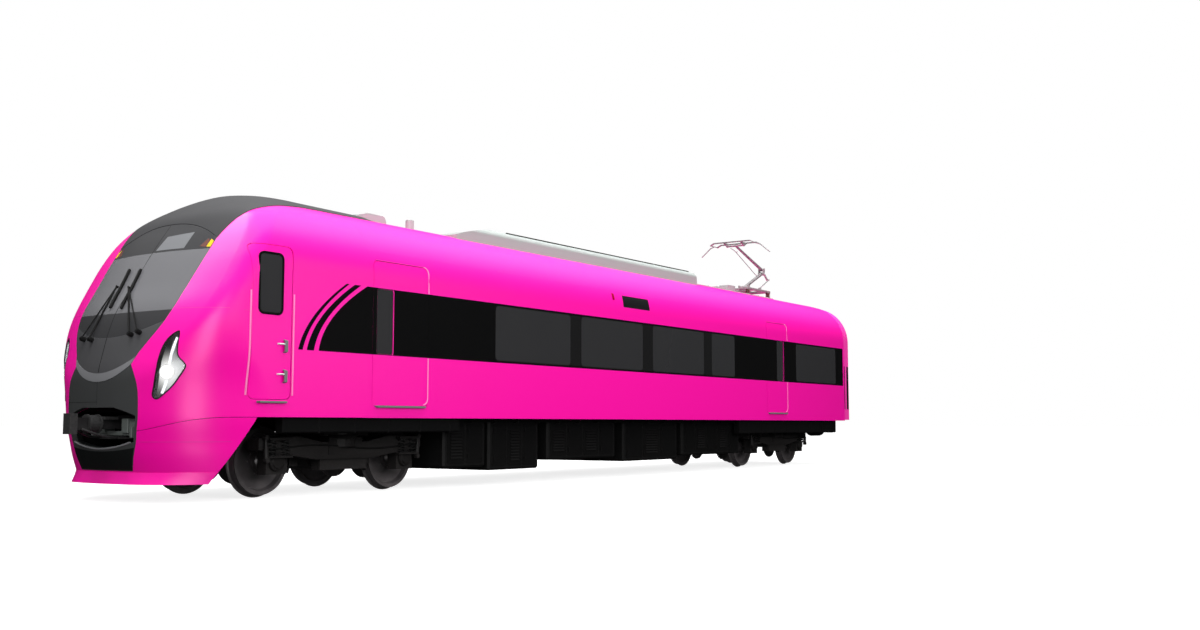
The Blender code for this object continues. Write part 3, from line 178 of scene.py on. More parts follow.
def rounded(first, second, radius, steps=8):
    """A rectangle with round corners, from its two ranges."""
    points = []
    for i, j, start in ((1, 0, -90), (1, 1, 0), (0, 1, 90), (0, 0, 180)):
        a, b = first[i], second[j]
        centre_a = a - math.copysign(radius, a - sum(first) / 2)
        centre_b = b - math.copysign(radius, b - sum(second) / 2)
        for step in range(steps + 1):
            angle = math.radians(start + 90 * step / steps)
            points.append((centre_a + radius * math.cos(angle), centre_b + radius * math.sin(angle)))
    return points


print("shape helpers ready")

# %% [markdown]
# ## From a shape to a piece
# A piece is an object that rides on a body of the frame. Hard edges are never perfectly sharp on a real
# train, so a small bevel catches the light. Cuts are done with the exact Boolean solver, and the result is
# shaded smooth with weighted normals, which keeps long slivers from spoiling the highlights of a curved
# panel.

# %% Pieces, cuts and bevels
def mesh_from(name, shape):
    mesh = bpy.data.meshes.new(name)
    mesh.from_pydata([(x + CAR[0], y + CAR[1], z + CAR[2]) for x, y, z in shape[0]], [], shape[1])
    editable = bmesh.new()
    editable.from_mesh(mesh)
    bmesh.ops.recalc_face_normals(editable, faces=editable.faces)
    editable.to_mesh(mesh)
    editable.free()
    return mesh


def carved(obj, keep, cut):
    """The object's mesh after it is kept inside some shapes and cut by others."""
    tools = []
    for operation, shapes in (("INTERSECT", keep), ("DIFFERENCE", cut)):
        for shape in shapes:
            tool = bpy.data.objects.new("tool", mesh_from("tool", shape))
            bpy.context.scene.collection.objects.link(tool)
            modifier = obj.modifiers.new(operation, "BOOLEAN")
            modifier.operation, modifier.solver, modifier.object = operation, "EXACT", tool
            tools.append(tool)
    seen = obj.evaluated_get(bpy.context.evaluated_depsgraph_get())
    mesh = bpy.data.meshes.new_from_object(seen)
    obj.modifiers.clear()
    obj.data = mesh
    for tool in tools:
        bpy.data.objects.remove(tool)


def make(name, shape, material, slot, body="car_body", stands_for=(), bevel=0.0,
         keep=(), cut=(), smooth=35):
    """One piece: a shape with its finish, on the body that carries it."""
    obj = bpy.data.objects.new(name, mesh_from(name, shape))
    bpy.context.scene.collection.objects.link(obj)
    if keep or cut:
        carved(obj, keep, cut)
    obj.data.name = name
    obj.data.materials.clear()
    obj.data.materials.append(FINISH[material])
    obj.data.shade_smooth()
    obj.data.set_sharp_from_angle(angle=math.radians(smooth))
    if bevel:
        edge = obj.modifiers.new("soft_edges", "BEVEL")
        edge.width, edge.segments, edge.limit_method = bevel, 2, "ANGLE"
        edge.angle_limit = math.radians(40)
    weight = obj.modifiers.new("clean_shading", "WEIGHTED_NORMAL")
    weight.keep_sharp = True
    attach(obj, body)
    if stands_for:
        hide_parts(*stands_for)
    return obj


FINISH = {}
print("piece helpers ready")

# %% [markdown]
# ## Effects that several finishes share
# Paint, rubber and cast iron differ in colour, but all of them show a fine unevenness. Low on the car the
# colour changes in patches towards the bottom: real dust on the wheels, bogies and underfloor, painted
# shade on the pink skin, and a darker lower part of the nose panel. Each effect is a node group with named
# inputs, so one change reaches every finish. The groups put out only values; the shader stays in each
# material.

# %% Node group helpers
def new_group(name, inputs, outputs):
    group = bpy.data.node_groups.new(name, "ShaderNodeTree")
    for label, value in inputs.items():
        socket = group.interface.new_socket(name=label, in_out="INPUT", socket_type="NodeSocketFloat")
        socket.default_value = value
    for label in outputs:
        group.interface.new_socket(name=label, in_out="OUTPUT", socket_type="NodeSocketFloat")
    nodes = group.nodes
    return group, nodes.new("NodeGroupInput"), nodes.new("NodeGroupOutput")


def math_node(tree, operation, first, second=None, clamp=False):
    node = tree.nodes.new("ShaderNodeMath")
    node.operation, node.use_clamp = operation, clamp
    for socket, value in zip(node.inputs, (first, second)):
        if value is None:
            continue
        if isinstance(value, (int, float)):
            socket.default_value = value
        else:
            tree.links.new(value, socket)
    return node.outputs[0]


def noise_value(tree, scale, detail=3.0, stretch=None):
    """Noise over the piece's own coordinates. A stretch makes it streaky along one axis."""
    place = tree.nodes.new("ShaderNodeTexCoord").outputs["Object"]
    if stretch:
        mapping = tree.nodes.new("ShaderNodeMapping")
        mapping.inputs["Scale"].default_value = stretch
        tree.links.new(place, mapping.inputs["Vector"])
        place = mapping.outputs["Vector"]
    noise = tree.nodes.new("ShaderNodeTexNoise")
    noise.inputs["Detail"].default_value = detail
    tree.links.new(place, noise.inputs["Vector"])
    if isinstance(scale, (int, float)):
        noise.inputs["Scale"].default_value = scale
    else:
        tree.links.new(scale, noise.inputs["Scale"])
    return noise.outputs["Fac"]


print("node helpers ready")

# %% Grain, dust and painted shade groups
GRAIN, grain_in, grain_out = new_group(
    "surface_grain", {"Scale": 200.0, "Base": 0.3, "Spread": 0.1}, ["Height", "Level"])
grain_noise = noise_value(GRAIN, grain_in.outputs["Scale"])
centred = math_node(GRAIN, "SUBTRACT", grain_noise, 0.5)
spread = math_node(GRAIN, "MULTIPLY", centred, grain_in.outputs["Spread"])
GRAIN.links.new(grain_noise, grain_out.inputs["Height"])
GRAIN.links.new(math_node(GRAIN, "ADD", spread, grain_in.outputs["Base"], True), grain_out.inputs["Level"])

# Below a height the colour turns in patches: dust on the running gear and underfloor, painted shade low on
# the pink skin.
DUST_SHADE, dust_shade_in, dust_shade_out = new_group(
    "dust_and_painted_shade", {"Top height": 1.0, "Amount": 0.5, "Scale": 6.0}, ["Mask"])
position = DUST_SHADE.nodes.new("ShaderNodeTexCoord").outputs["Object"]
apart = DUST_SHADE.nodes.new("ShaderNodeSeparateXYZ")
DUST_SHADE.links.new(position, apart.inputs[0])
depth_below = math_node(DUST_SHADE, "SUBTRACT", dust_shade_in.outputs["Top height"], apart.outputs["Z"], True)
patches = noise_value(DUST_SHADE, dust_shade_in.outputs["Scale"], 6.0)
amount = math_node(DUST_SHADE, "MULTIPLY", math_node(DUST_SHADE, "MULTIPLY", depth_below, patches),
                   dust_shade_in.outputs["Amount"])
DUST_SHADE.links.new(math_node(DUST_SHADE, "MULTIPLY", amount, 2.0, True), dust_shade_out.inputs["Mask"])

WEAR, wear_in, wear_out = new_group("worn_edges", {"Start": 0.52, "Amount": 0.6}, ["Mask"])
pointed = WEAR.nodes.new("ShaderNodeNewGeometry").outputs["Pointiness"]
over = math_node(WEAR, "SUBTRACT", pointed, wear_in.outputs["Start"])
over = math_node(WEAR, "MULTIPLY", over, 12.0, True)
broken = math_node(WEAR, "MULTIPLY", over, noise_value(WEAR, 30.0, 4.0))
broken = math_node(WEAR, "MULTIPLY", broken, wear_in.outputs["Amount"], True)
WEAR.links.new(broken, wear_out.inputs["Mask"])
print("groups", GRAIN.name, DUST_SHADE.name, WEAR.name)

# %% [markdown]
# ## Finishes
# Each finish is one Principled shader. The colour is a mix of two close tones, because paint that is one
# flat colour looks like plastic; roughness wanders a little with the grain, and a bump from the same grain
# breaks the highlight. Low finishes change colour towards the bottom, with dust on the running gear and
# painted shade on the pink skin, and bare metal takes a brighter worn edge. Numbers that are the same all
# over are set on the shader itself.

# %% The finish maker
def finish(name, colour, rough, metal=0.0, tone=0.9, grain=60.0, spread=0.08, bump=0.02, coat=0.0,
           specular=0.5, dust_and_shade=None, wear=None, sheen=0.0, streaks=None):
    """A procedural finish. Dust-and-shade and wear are (height or start, amount, colour)."""
    material = bpy.data.materials.new(name)
    material.use_nodes = True
    tree = material.node_tree
    shader = tree.nodes["Principled BSDF"]
    shader.inputs["Metallic"].default_value = metal
    shader.inputs["Coat Weight"].default_value = coat
    shader.inputs["Coat Roughness"].default_value = 0.12
    shader.inputs["Specular IOR Level"].default_value = specular
    shader.inputs["Sheen Weight"].default_value = sheen
    detail = tree.nodes.new("ShaderNodeGroup")
    detail.node_tree = GRAIN
    for label, value in (("Scale", grain), ("Base", rough), ("Spread", spread)):
        detail.inputs[label].default_value = value
    tree.links.new(detail.outputs["Level"], shader.inputs["Roughness"])
    surface = tree.nodes.new("ShaderNodeBump")
    surface.inputs["Strength"].default_value = bump
    surface.inputs["Distance"].default_value = 0.01
    tree.links.new(detail.outputs["Height"], surface.inputs["Height"])
    tree.links.new(surface.outputs["Normal"], shader.inputs["Normal"])
    cloud = noise_value(tree, 1.3, 2.0, streaks)
    result = mixed(tree, cloud, colour, tuple(c * tone for c in colour))
    for group, given, labels in ((DUST_SHADE, dust_and_shade, ("Top height", "Amount")),
                                 (WEAR, wear, ("Start", "Amount"))):
        if given:
            effect = tree.nodes.new("ShaderNodeGroup")
            effect.node_tree = group
            for label, value in zip(labels, given):
                effect.inputs[label].default_value = value
            result = mixed(tree, effect.outputs["Mask"], result, given[2])
    tree.links.new(result, shader.inputs["Base Color"])
    material.diffuse_color = (*colour, 1.0)
    FINISH[name] = material
    return shader


def mixed(tree, factor, first, second):
    """The colour between two, each a tuple or an output of another node."""
    node = tree.nodes.new("ShaderNodeMix")
    node.data_type = "RGBA"
    tree.links.new(factor, node.inputs[0])
    for socket, value in ((node.inputs[6], first), (node.inputs[7], second)):
        if isinstance(value, tuple):
            socket.default_value = (*value, 1.0)
        else:
            tree.links.new(value, socket)
    return node.outputs[2]


def clear(name, colour, rough, weight, ior=1.45, specular=0.5):
    """Glass: light passes by the given weight, and the grain only stirs its roughness."""
    shader = finish(name, colour, rough, tone=0.93, grain=12.0, spread=0.02, bump=0.0, specular=specular)
    shader.inputs["Transmission Weight"].default_value = weight
    shader.inputs["IOR"].default_value = ior
    return shader


def glowing(name, colour, strength):
    shader = finish(name, colour, 0.2)
    shader.inputs["Emission Color"].default_value = (*colour, 1.0)
    shader.inputs["Emission Strength"].default_value = strength


print("finish makers ready")

# %% The finishes of this car
# Below 0.7 m the pink turns darker: painted shade on the lower skirt and its lip.
finish("pink_gloss", (0.93, 0.0, 0.352), 0.30, tone=0.985, grain=9.0, spread=0.03, bump=0.01,
       specular=0.3, dust_and_shade=(0.7, 0.25, (0.35, 0.02, 0.16)))
# A paler pink, used as painted highlight on the cab door rails and on the rear edges of the passenger
# doorways.
finish("pink_painted_highlight", (0.97, 0.27, 0.58), 0.30, tone=0.95, grain=40.0)
finish("pink_seam", (0.62, 0.02, 0.27), 0.40, tone=0.9, grain=40.0)
finish("hood_grey", (0.040, 0.040, 0.0425), 0.45, tone=0.82, grain=14.0, spread=0.04, bump=0.01,
       specular=0.22)
finish("print_grey", (0.040, 0.040, 0.0425), 0.30, tone=0.82, grain=14.0, spread=0.03, bump=0.004,
       specular=0.15)
finish("mask_grey", (0.070, 0.070, 0.074), 0.30, tone=0.78, grain=14.0, spread=0.03, bump=0.008,
       specular=0.3)
finish("smile_grey", (0.185, 0.187, 0.197), 0.35, tone=0.93, grain=30.0)
# The nose panel turns darker towards the bottom, below 0.8 m.
finish("panel_grey", (0.050, 0.052, 0.053), 0.36, tone=0.82, grain=50.0, bump=0.02, specular=0.3,
       dust_and_shade=(0.8, 0.5, (0.02, 0.022, 0.022)))
finish("grille_black", (0.007, 0.008, 0.008), 0.5, tone=0.8, grain=80.0, specular=0.15)
finish("band_black", (0.0042, 0.0042, 0.0044), 0.28, tone=0.85, grain=16.0, spread=0.02, bump=0.004,
       specular=0.12)
finish("sign_dark", (0.010, 0.010, 0.011), 0.3, tone=0.85, grain=16.0, specular=0.15)
finish("pillar_black", (0.0105, 0.0105, 0.0108), 0.22, tone=0.9, grain=16.0, spread=0.02, specular=0.2)
finish("rubber_black", (0.005, 0.005, 0.005), 0.6, tone=0.8, grain=400.0, bump=0.05, specular=0.25)
finish("gangway_pink", (0.93, 0.045, 0.40), 0.62, tone=0.93, grain=300.0, bump=0.08, specular=0.2)
finish("step_grey", (0.42, 0.44, 0.43), 0.45, tone=0.85, grain=180.0, bump=0.05,
       wear=(0.52, 0.6, (0.6, 0.6, 0.6)))
finish("unit_grey", (0.33, 0.36, 0.347), 0.36, tone=0.93, grain=120.0, bump=0.03, streaks=(0.2, 2.0, 2.0))
finish("arm_brown", (0.27, 0.255, 0.26), 0.38, metal=0.3, tone=0.8, grain=220.0, bump=0.04,
       wear=(0.52, 0.7, (0.45, 0.44, 0.44)))
finish("carbon_dark", (0.03, 0.028, 0.028), 0.5, tone=0.7, grain=300.0, bump=0.06,
       streaks=(20.0, 1.0, 20.0))
finish("insulator_brown", (0.13, 0.07, 0.055), 0.25, tone=0.85, grain=30.0)
finish("underfloor_black", (0.0035, 0.0035, 0.0037), 0.55, tone=0.7, grain=90.0, bump=0.06,
       specular=0.12, dust_and_shade=(0.9, 0.4, (0.008, 0.0075, 0.007)), wear=(0.53, 0.3, (0.02, 0.02, 0.02)))
finish("bogie_black", (0.0075, 0.007, 0.0072), 0.5, tone=0.7, grain=70.0, bump=0.08, specular=0.2,
       dust_and_shade=(0.8, 0.6, (0.022, 0.019, 0.018)), wear=(0.53, 0.4, (0.05, 0.047, 0.047)))
finish("wheel_iron", (0.045, 0.041, 0.043), 0.42, metal=0.3, tone=0.6, grain=60.0, bump=0.05,
       dust_and_shade=(0.62, 0.9, (0.15, 0.135, 0.138)))
finish("tread_steel", (0.20, 0.18, 0.19), 0.32, metal=0.6, tone=0.85, grain=150.0, bump=0.02)
finish("coupler_iron", (0.020, 0.019, 0.020), 0.42, metal=0.2, tone=0.75, grain=60.0, bump=0.07,
       specular=0.3, wear=(0.52, 0.5, (0.10, 0.10, 0.10)))
finish("lining_grey", (0.45, 0.45, 0.46), 0.6, tone=0.95, grain=200.0, bump=0.02)
finish("desk_dark", (0.03, 0.03, 0.032), 0.6, tone=0.85, grain=250.0, bump=0.05)
finish("seat_cloth", (0.075, 0.075, 0.095), 0.9, tone=0.7, grain=700.0, bump=0.2, sheen=0.4)
finish("seat_shell", (0.12, 0.12, 0.125), 0.5, tone=0.85, grain=150.0, bump=0.03)
finish("grip_grey", (0.16, 0.18, 0.17), 0.45, tone=0.85, grain=180.0, bump=0.05)
# White paint on the handle arms stands in for the bright reflection of chrome.
finish("handle_painted_glint", (0.75, 0.75, 0.76), 0.3, tone=0.92, grain=40.0)
finish("marker_yellow", (0.80, 0.50, 0.0), 0.25, tone=0.92, grain=30.0)
finish("marker_brown", (0.12, 0.03, 0.02), 0.25, tone=0.85, grain=30.0)
finish("lamp_red", (0.30, 0.0, 0.01), 0.2, tone=0.85, grain=30.0)
finish("display_grey", (0.15, 0.155, 0.165), 0.3, tone=0.95, grain=60.0)
clear("screen_glass", (0.245, 0.245, 0.26), 0.06, 0.45, specular=0.05)
clear("window_glass", (0.036, 0.036, 0.038), 0.10, 0.22, specular=0.12)
clear("lens_clear", (0.95, 0.96, 0.97), 0.02, 1.0)
glowing("lamp_white", (1.0, 0.99, 0.96), 8.0)
glowing("guide_white", (0.85, 0.86, 0.88), 0.5)
print(len(FINISH), "finishes")

# %% [markdown]
# ## Light inside the lamps
# The lamp lights its own bowl. Written into the finish as an emission that fades with the distance from the
# lamp, this glow is the same on both sides and costs no extra rays.

# %% Lamp glow
LAMP_X, LAMP_Y, LAMP_Z = 18.60, 1.02, 1.494


def lit_by_lamp(name, colour, rough, metal, strength, reach):
    """A finish that glows near the lamps and no longer glows at a distance of reach."""
    shader = finish(name, colour, rough, metal=metal, tone=0.85, grain=30.0)
    tree = FINISH[name].node_tree
    apart = tree.nodes.new("ShaderNodeSeparateXYZ")
    tree.links.new(tree.nodes.new("ShaderNodeTexCoord").outputs["Object"], apart.inputs[0])
    off = [math_node(tree, "SUBTRACT", apart.outputs["X"], LAMP_X + CAR[0]),
           math_node(tree, "SUBTRACT", math_node(tree, "ABSOLUTE", apart.outputs["Y"]), LAMP_Y),
           math_node(tree, "SUBTRACT", apart.outputs["Z"], LAMP_Z + CAR[2])]
    squares = [math_node(tree, "MULTIPLY", part, part) for part in off]
    total = math_node(tree, "ADD", math_node(tree, "ADD", squares[0], squares[1]), squares[2])
    away = math_node(tree, "DIVIDE", math_node(tree, "SQRT", total), reach)
    near = math_node(tree, "SUBTRACT", 1.0, away, True)
    glow = mixed(tree, math_node(tree, "MULTIPLY", near, near), (0.0, 0.0, 0.0), (1.0, 0.99, 0.96))
    tree.links.new(glow, shader.inputs["Emission Color"])
    shader.inputs["Emission Strength"].default_value = strength


lit_by_lamp("lamp_bowl", (0.012, 0.012, 0.013), 0.35, 0.0, 2.2, 0.31)
lit_by_lamp("lamp_chrome", (0.40, 0.40, 0.41), 0.25, 0.4, 0.9, 0.30)
print("lamp glow made")

# %% [markdown]
# ## The law of the nose
# The nose is one surface: at every height its plan is a shallow curve across the front, a round corner, and
# a straight side. Three numbers at each height say where the front is, how far the curve falls back, and
# how big the corner is. The same law gives the cab skin, the windscreen, the lamp covers and the strips
# laid on them, so that everything on the nose fits without measuring twice.

# %% Section and nose
SIDE_Y, BODY_LOW, CROWN_Z, CROWN_RADIUS = 1.56, 0.977, 3.86, 3.0
CROWN_ANGLE = math.radians(18.4)
SHOULDER_RADIUS = (SIDE_Y - CROWN_RADIUS * math.sin(CROWN_ANGLE)) / (1 - math.sin(CROWN_ANGLE))
SHOULDER_Y = SIDE_Y - SHOULDER_RADIUS
CROWN_EDGE_Z = CROWN_Z - CROWN_RADIUS * (1 - math.cos(CROWN_ANGLE))
SHOULDER_Z = CROWN_EDGE_Z - SHOULDER_RADIUS * math.cos(CROWN_ANGLE)
SKIRT_LOW, SKIRT_TUCK, NOSE_TOP = 0.217, 0.04, 3.854
NOSE = np.array([
    (0.217, 18.650, 0.315, 1.08), (0.60, 18.768, 0.344, 1.07), (1.00, 18.820, 0.353, 0.99),
    (1.40, 18.827, 0.372, 0.855), (1.80, 18.753, 0.369, 0.535), (2.20, 18.626, 0.375, 0.30),
    (2.60, 18.386, 0.325, 0.22), (3.00, 18.144, 0.300, 0.22), (3.30, 17.943, 0.275, 0.22),
    (3.50, 17.790, 0.300, 0.22), (3.64, 17.560, 0.330, 0.22), (3.78, 17.150, 0.330, 0.22),
    (3.854, 16.750, 0.330, 0.18),
])


def smooth_through(t, v, values):
    """Values of a curve through (t, v) with no overshoot between them."""
    step = np.diff(t)
    slope = np.diff(v) / step
    tangent = np.concatenate([[slope[0]], np.zeros(len(t) - 2), [slope[-1]]])
    for i in range(1, len(t) - 1):
        if slope[i - 1] * slope[i] > 0:
            first, second = 2 * step[i] + step[i - 1], step[i] + 2 * step[i - 1]
            tangent[i] = (first + second) / (first / slope[i - 1] + second / slope[i])
    values = np.asarray(values, float)
    i = np.clip(np.searchsorted(t, values) - 1, 0, len(step) - 1)
    s = (values - t[i]) / step[i]
    near = (1 + 2 * s) * (1 - s) ** 2 * v[i] + s * (1 - s) ** 2 * step[i] * tangent[i]
    return near + s * s * (3 - 2 * s) * v[i + 1] + s * s * (s - 1) * step[i] * tangent[i + 1]


def half_width(z):
    """Half width of the body at height z."""
    if z < BODY_LOW:
        return SIDE_Y - SKIRT_TUCK * ((BODY_LOW - z) / (BODY_LOW - SKIRT_LOW)) ** 1.2
    if z < SHOULDER_Z:
        return SIDE_Y
    if z < CROWN_EDGE_Z:
        return SHOULDER_Y + math.sqrt(SHOULDER_RADIUS**2 - (z - SHOULDER_Z) ** 2)
    rise = min(z, CROWN_Z) - (CROWN_Z - CROWN_RADIUS)
    return math.sqrt(max(CROWN_RADIUS**2 - rise**2, 0.0))


def nose_x(y, z):
    """x of the nose's surface at a place seen from the front."""
    width = half_width(z)
    front, fall, corner = (float(smooth_through(NOSE[:, 0], NOSE[:, i], [z])[0]) for i in (1, 2, 3))
    corner = min(corner, 0.9 * width)
    turn = 1 - (width - min(abs(y), width)) / corner
    x = front - fall * (y / width) ** 2
    return x - corner * (1 - math.sqrt(max(1 - turn * turn, 0.0))) if turn > 0 else x


def nose_ring(z, rear_x, front_steps=12, corner_steps=16, out=0.0):
    """One level line of the nose, from the right rear round the front to the left rear."""
    width = half_width(z) + out
    front, fall, corner = (float(smooth_through(NOSE[:, 0], NOSE[:, i], [z])[0]) for i in (1, 2, 3))
    corner = min(corner, 0.9 * width)
    left = []
    for i in range(front_steps + 1):
        y = (width - corner) * i / front_steps
        left.append((front + out - fall * (y / width) ** 2, y, z))
    for i in range(1, corner_steps + 1):
        angle = math.pi / 2 * i / corner_steps
        y = width - corner * (1 - math.sin(angle))
        left.append((front + out - fall * (y / width) ** 2 - corner * (1 - math.cos(angle)), y, z))
    left.append((rear_x, width, z))
    return [(x, -y, level) for x, y, level in left[:0:-1]] + left


def on_nose(y, z):
    """A point of the nose seen from the front, and the outward direction there."""
    step = 0.004
    here = Vector((nose_x(y, z), y, z))
    inner = y - math.copysign(step, y if y else 1.0)
    along = Vector((nose_x(inner, z), inner, z)) - here
    up = Vector((nose_x(y, z + step), y, z + step)) - here
    normal = along.cross(up).normalized()
    return here, normal if normal.x > 0 else -normal


def side_y(x, z):
    """y of the left side of the cab at a place along the car."""
    low, high = 0.5, half_width(z)
    for _ in range(30):
        y = (low + high) / 2
        low, high = (y, high) if nose_x(y, z) > x else (low, y)
    return low


print("nose front at belt height", round(nose_x(0.0, 1.4), 3))

# %% [markdown]
# ## Skins
# A skin is the nose's surface with a thickness. The outer grid comes from the law, and the inner grid is
# the outer one moved along its normals. Rows are spaced evenly along the centreline, so that the roof's
# slope gets as many as the front. The outlines that cut it are smooth curves through a few measured points.

# %% Skin helpers
NOSE_REACH, PATCH_REAR = (17.0, 19.4), 16.9


def grid_normals(grid):
    normal = np.cross(np.gradient(grid, axis=1), np.gradient(grid, axis=0))
    return normal / np.maximum(np.linalg.norm(normal, axis=2, keepdims=True), 1e-9)


def grid_shell(outer, inner, closed_top=False):
    """A closed shape between two grids. With closed_top, the last row of each is joined left to right."""
    rows, columns, _ = outer.shape
    half = rows * columns
    points = [tuple(p) for p in np.concatenate([outer.reshape(-1, 3), inner.reshape(-1, 3)])]
    faces = []
    for side in (0, 1):
        for row in range(rows - 1):
            for column in range(columns - 1):
                a = side * half + row * columns + column
                faces.append([a, a + 1, a + columns + 1, a + columns])
    for c in range(columns - 1):
        faces.append([c, c + 1, half + c + 1, half + c])
    top = (rows - 1) * columns
    for row in range(rows - 1):
        for c in (row * columns, row * columns + columns - 1):
            faces.append([c, c + columns, half + c + columns, half + c])
    if closed_top:
        for side in (0, half):
            for c in range(columns // 2):
                quad = [top + c, top + c + 1, top + columns - 2 - c, top + columns - 1 - c]
                quad = list(dict.fromkeys(side + i for i in quad))
                if len(quad) > 2:
                    faces.append(quad)
        faces.append([top, top + columns - 1, half + top + columns - 1, half + top])
    else:
        faces += [[top + c, top + c + 1, half + top + c + 1, half + top + c] for c in range(columns - 1)]
    return points, faces


def nose_skin(low_z, high_z, rear_x, outside, inside, levels=110):
    """The nose between two heights, as a shell from one depth to another (negative is outwards)."""
    dense = np.linspace(NOSE[0, 0], NOSE_TOP, 600)
    front = smooth_through(NOSE[:, 0], NOSE[:, 1], dense)
    length = np.concatenate([[0], np.cumsum(np.hypot(np.diff(front), np.diff(dense)))])
    even = np.interp(np.linspace(0, length[-1], levels), length, dense)
    heights = [low_z] + [z for z in even if low_z + 0.008 < z < high_z - 0.003] + [high_z]
    middle = np.array([nose_ring(z, rear_x) for z in heights])
    normals = grid_normals(middle)
    grids = [middle - depth * normals for depth in (outside, inside)]
    over_top = high_z > NOSE_TOP - 0.02
    for grid in grids:
        grid[:, 0, 0] = grid[:, -1, 0] = rear_x
        grid[0, :, 2] = low_z
        if not over_top:
            grid[-1, :, 2] = high_z
    return grid_shell(*grids, over_top)


def curve_through(points, steps=6, closed=False):
    """A smooth line through 2-D points (Catmull-Rom), with several steps between each two."""
    p = [np.array(q, float) for q in points]
    count = len(p)
    line = []
    for i in range(count if closed else count - 1):
        before = p[i - 1] if i or closed else 2 * p[0] - p[1]
        after = p[(i + 2) % count] if i + 2 < count or closed else 2 * p[-1] - p[-2]
        a, b = p[i], p[(i + 1) % count]
        for k in range(steps):
            t = k / steps
            line.append(tuple(0.5 * (2 * a + (b - before) * t + (2 * before - 5 * a + 4 * b - after) * t * t
                                     + (3 * a - before - 3 * b + after) * t**3)))
    return line if closed else line + [tuple(p[-1])]


def arc(y, z_edge, z_middle, power=2.0, steps=40):
    """A shallow arc across the car, from +y to -y, without its two ends."""
    values = [1 - 2 * i / steps for i in range(1, steps)]
    return [(y * t, z_middle + (z_edge - z_middle) * abs(t) ** power) for t in values]


def grown(outline, amount):
    """An outline moved outwards by an amount (inwards if negative)."""
    p = np.array(outline, float)
    along = np.roll(p, -1, axis=0) - np.roll(p, 1, axis=0)
    normal = np.stack([along[:, 1], -along[:, 0]], axis=1)
    normal /= np.maximum(np.linalg.norm(normal, axis=1, keepdims=True), 1e-9)
    area = np.sum(p[:, 0] * np.roll(p[:, 1], -1) - np.roll(p[:, 0], -1) * p[:, 1])
    return [tuple(q) for q in p + amount * (normal if area > 0 else -normal)]


def through_front(outline, grow=0.0):
    """An outline seen from the front, pushed through the whole nose."""
    return prism(grown(outline, grow) if grow else outline, "x", *NOSE_REACH)


def nose_patch(low_z, high_z, outside, inside, levels=110):
    """A skin for a piece at the front, which an outline then cuts out."""
    return nose_skin(low_z, high_z, PATCH_REAR, outside, inside, levels)


def mirrored(outline):
    return [(-y, z) for y, z in reversed(outline)]


print("skin helpers ready")

# %% Outlines on the nose
SCREEN_TOP, SCREEN_LOW, MASK_LOW, TOP_POWER, MASK_POWER = 3.397, 1.915, 1.392, 2.3, 2.2
screen_side = curve_through([
    (0.964, 3.148), (0.961, 2.95), (0.942, 2.70), (0.926, 2.45), (0.911, 2.28), (0.858, 2.10)])
mask_side = curve_through([
    (0.858, 2.10), (0.792, 1.98), (0.696, 1.839), (0.614, 1.723), (0.545, 1.59)])
panel_side = curve_through([
    (0.545, 1.59), (0.626, 1.452), (0.669, 1.335), (0.684, 1.196), (0.684, 0.988), (0.655, 0.826),
    (0.619, 0.664), (0.503, 0.348)])
screen_top_arc = arc(*screen_side[0], SCREEN_TOP, TOP_POWER)
screen_low_arc = arc(*screen_side[-1], SCREEN_LOW)
screen_line = screen_side + screen_low_arc + mirrored(screen_side) + screen_top_arc[::-1]
mask_top_arc = arc(*mask_side[0], SCREEN_LOW)
mask_low_arc = arc(*mask_side[-1], MASK_LOW, MASK_POWER)
mask_line = mask_side + mask_low_arc + mirrored(mask_side) + mask_top_arc[::-1]
panel_line = panel_side + mirrored(panel_side) + mask_low_arc[::-1]
mouth_side = [(0.300, 1.09), (0.44, 1.058), (0.56, 1.024), (0.652, 0.99), (0.645, 0.93), (0.623, 0.826),
              (0.597, 0.69)]
mouth_line = mouth_side + arc(*mouth_side[-1], 0.62, 2.0, 16) + mirrored(mouth_side)
lamp_line = curve_through([
    (1.089, 1.972), (1.004, 1.915), (0.937, 1.798), (0.918, 1.657), (0.909, 1.518), (0.878, 1.333),
    (0.859, 1.229), (0.888, 1.186), (0.935, 1.199), (1.044, 1.310), (1.122, 1.425), (1.191, 1.552),
    (1.179, 1.610), (1.146, 1.656), (1.126, 1.713), (1.120, 1.818), (1.113, 1.936)], 3, True)
print("outline points", len(screen_line), len(mask_line), len(panel_line), len(lamp_line))


def smoothstep(value):
    t = min(max(value, 0.0), 1.0)
    return t * t * (3 - 2 * t)


def seam_z(y):
    """Height of the seam between cab and skirt: low in front, at the body's lower edge at the sides."""
    return 0.81 + (BODY_LOW - 0.81) * smoothstep((abs(y) - 0.55) / 0.90)


def below_seam(drop):
    """Everything under the seam, moved down by a drop."""
    across = [1.7 - 3.4 * i / 60 for i in range(61)]
    line = [(y, seam_z(y) - drop) for y in across]
    return prism(line + [(-1.7, 0.0), (1.7, 0.0)], "x", 15.0, 19.4)


# %% [markdown]
# ## The cab
# The cab is a moulded skin with one big opening for the windscreen and smaller ones for lamps and doors. It
# is made as a closed shell and cut, rather than modelled around the holes, because then the surface beside
# a hole is exactly the surface without it, and the highlight runs on. The gap to the skirt is a real gap
# with a dark strip behind it.

# %% Cab skin
CAB_REAR, CAB_SKIN, HAIR = 15.93, 0.06, 0.0003
DOOR_X, DOOR_Z = (17.257, 17.858), (1.194, 3.055)
STEP_X, STEP_Z, STEP_OUT = (17.33, 17.74), (1.15, 1.17), 1.6004
WINDOW_X, WINDOW_Z = (17.40, 17.765), (2.216, 2.96)


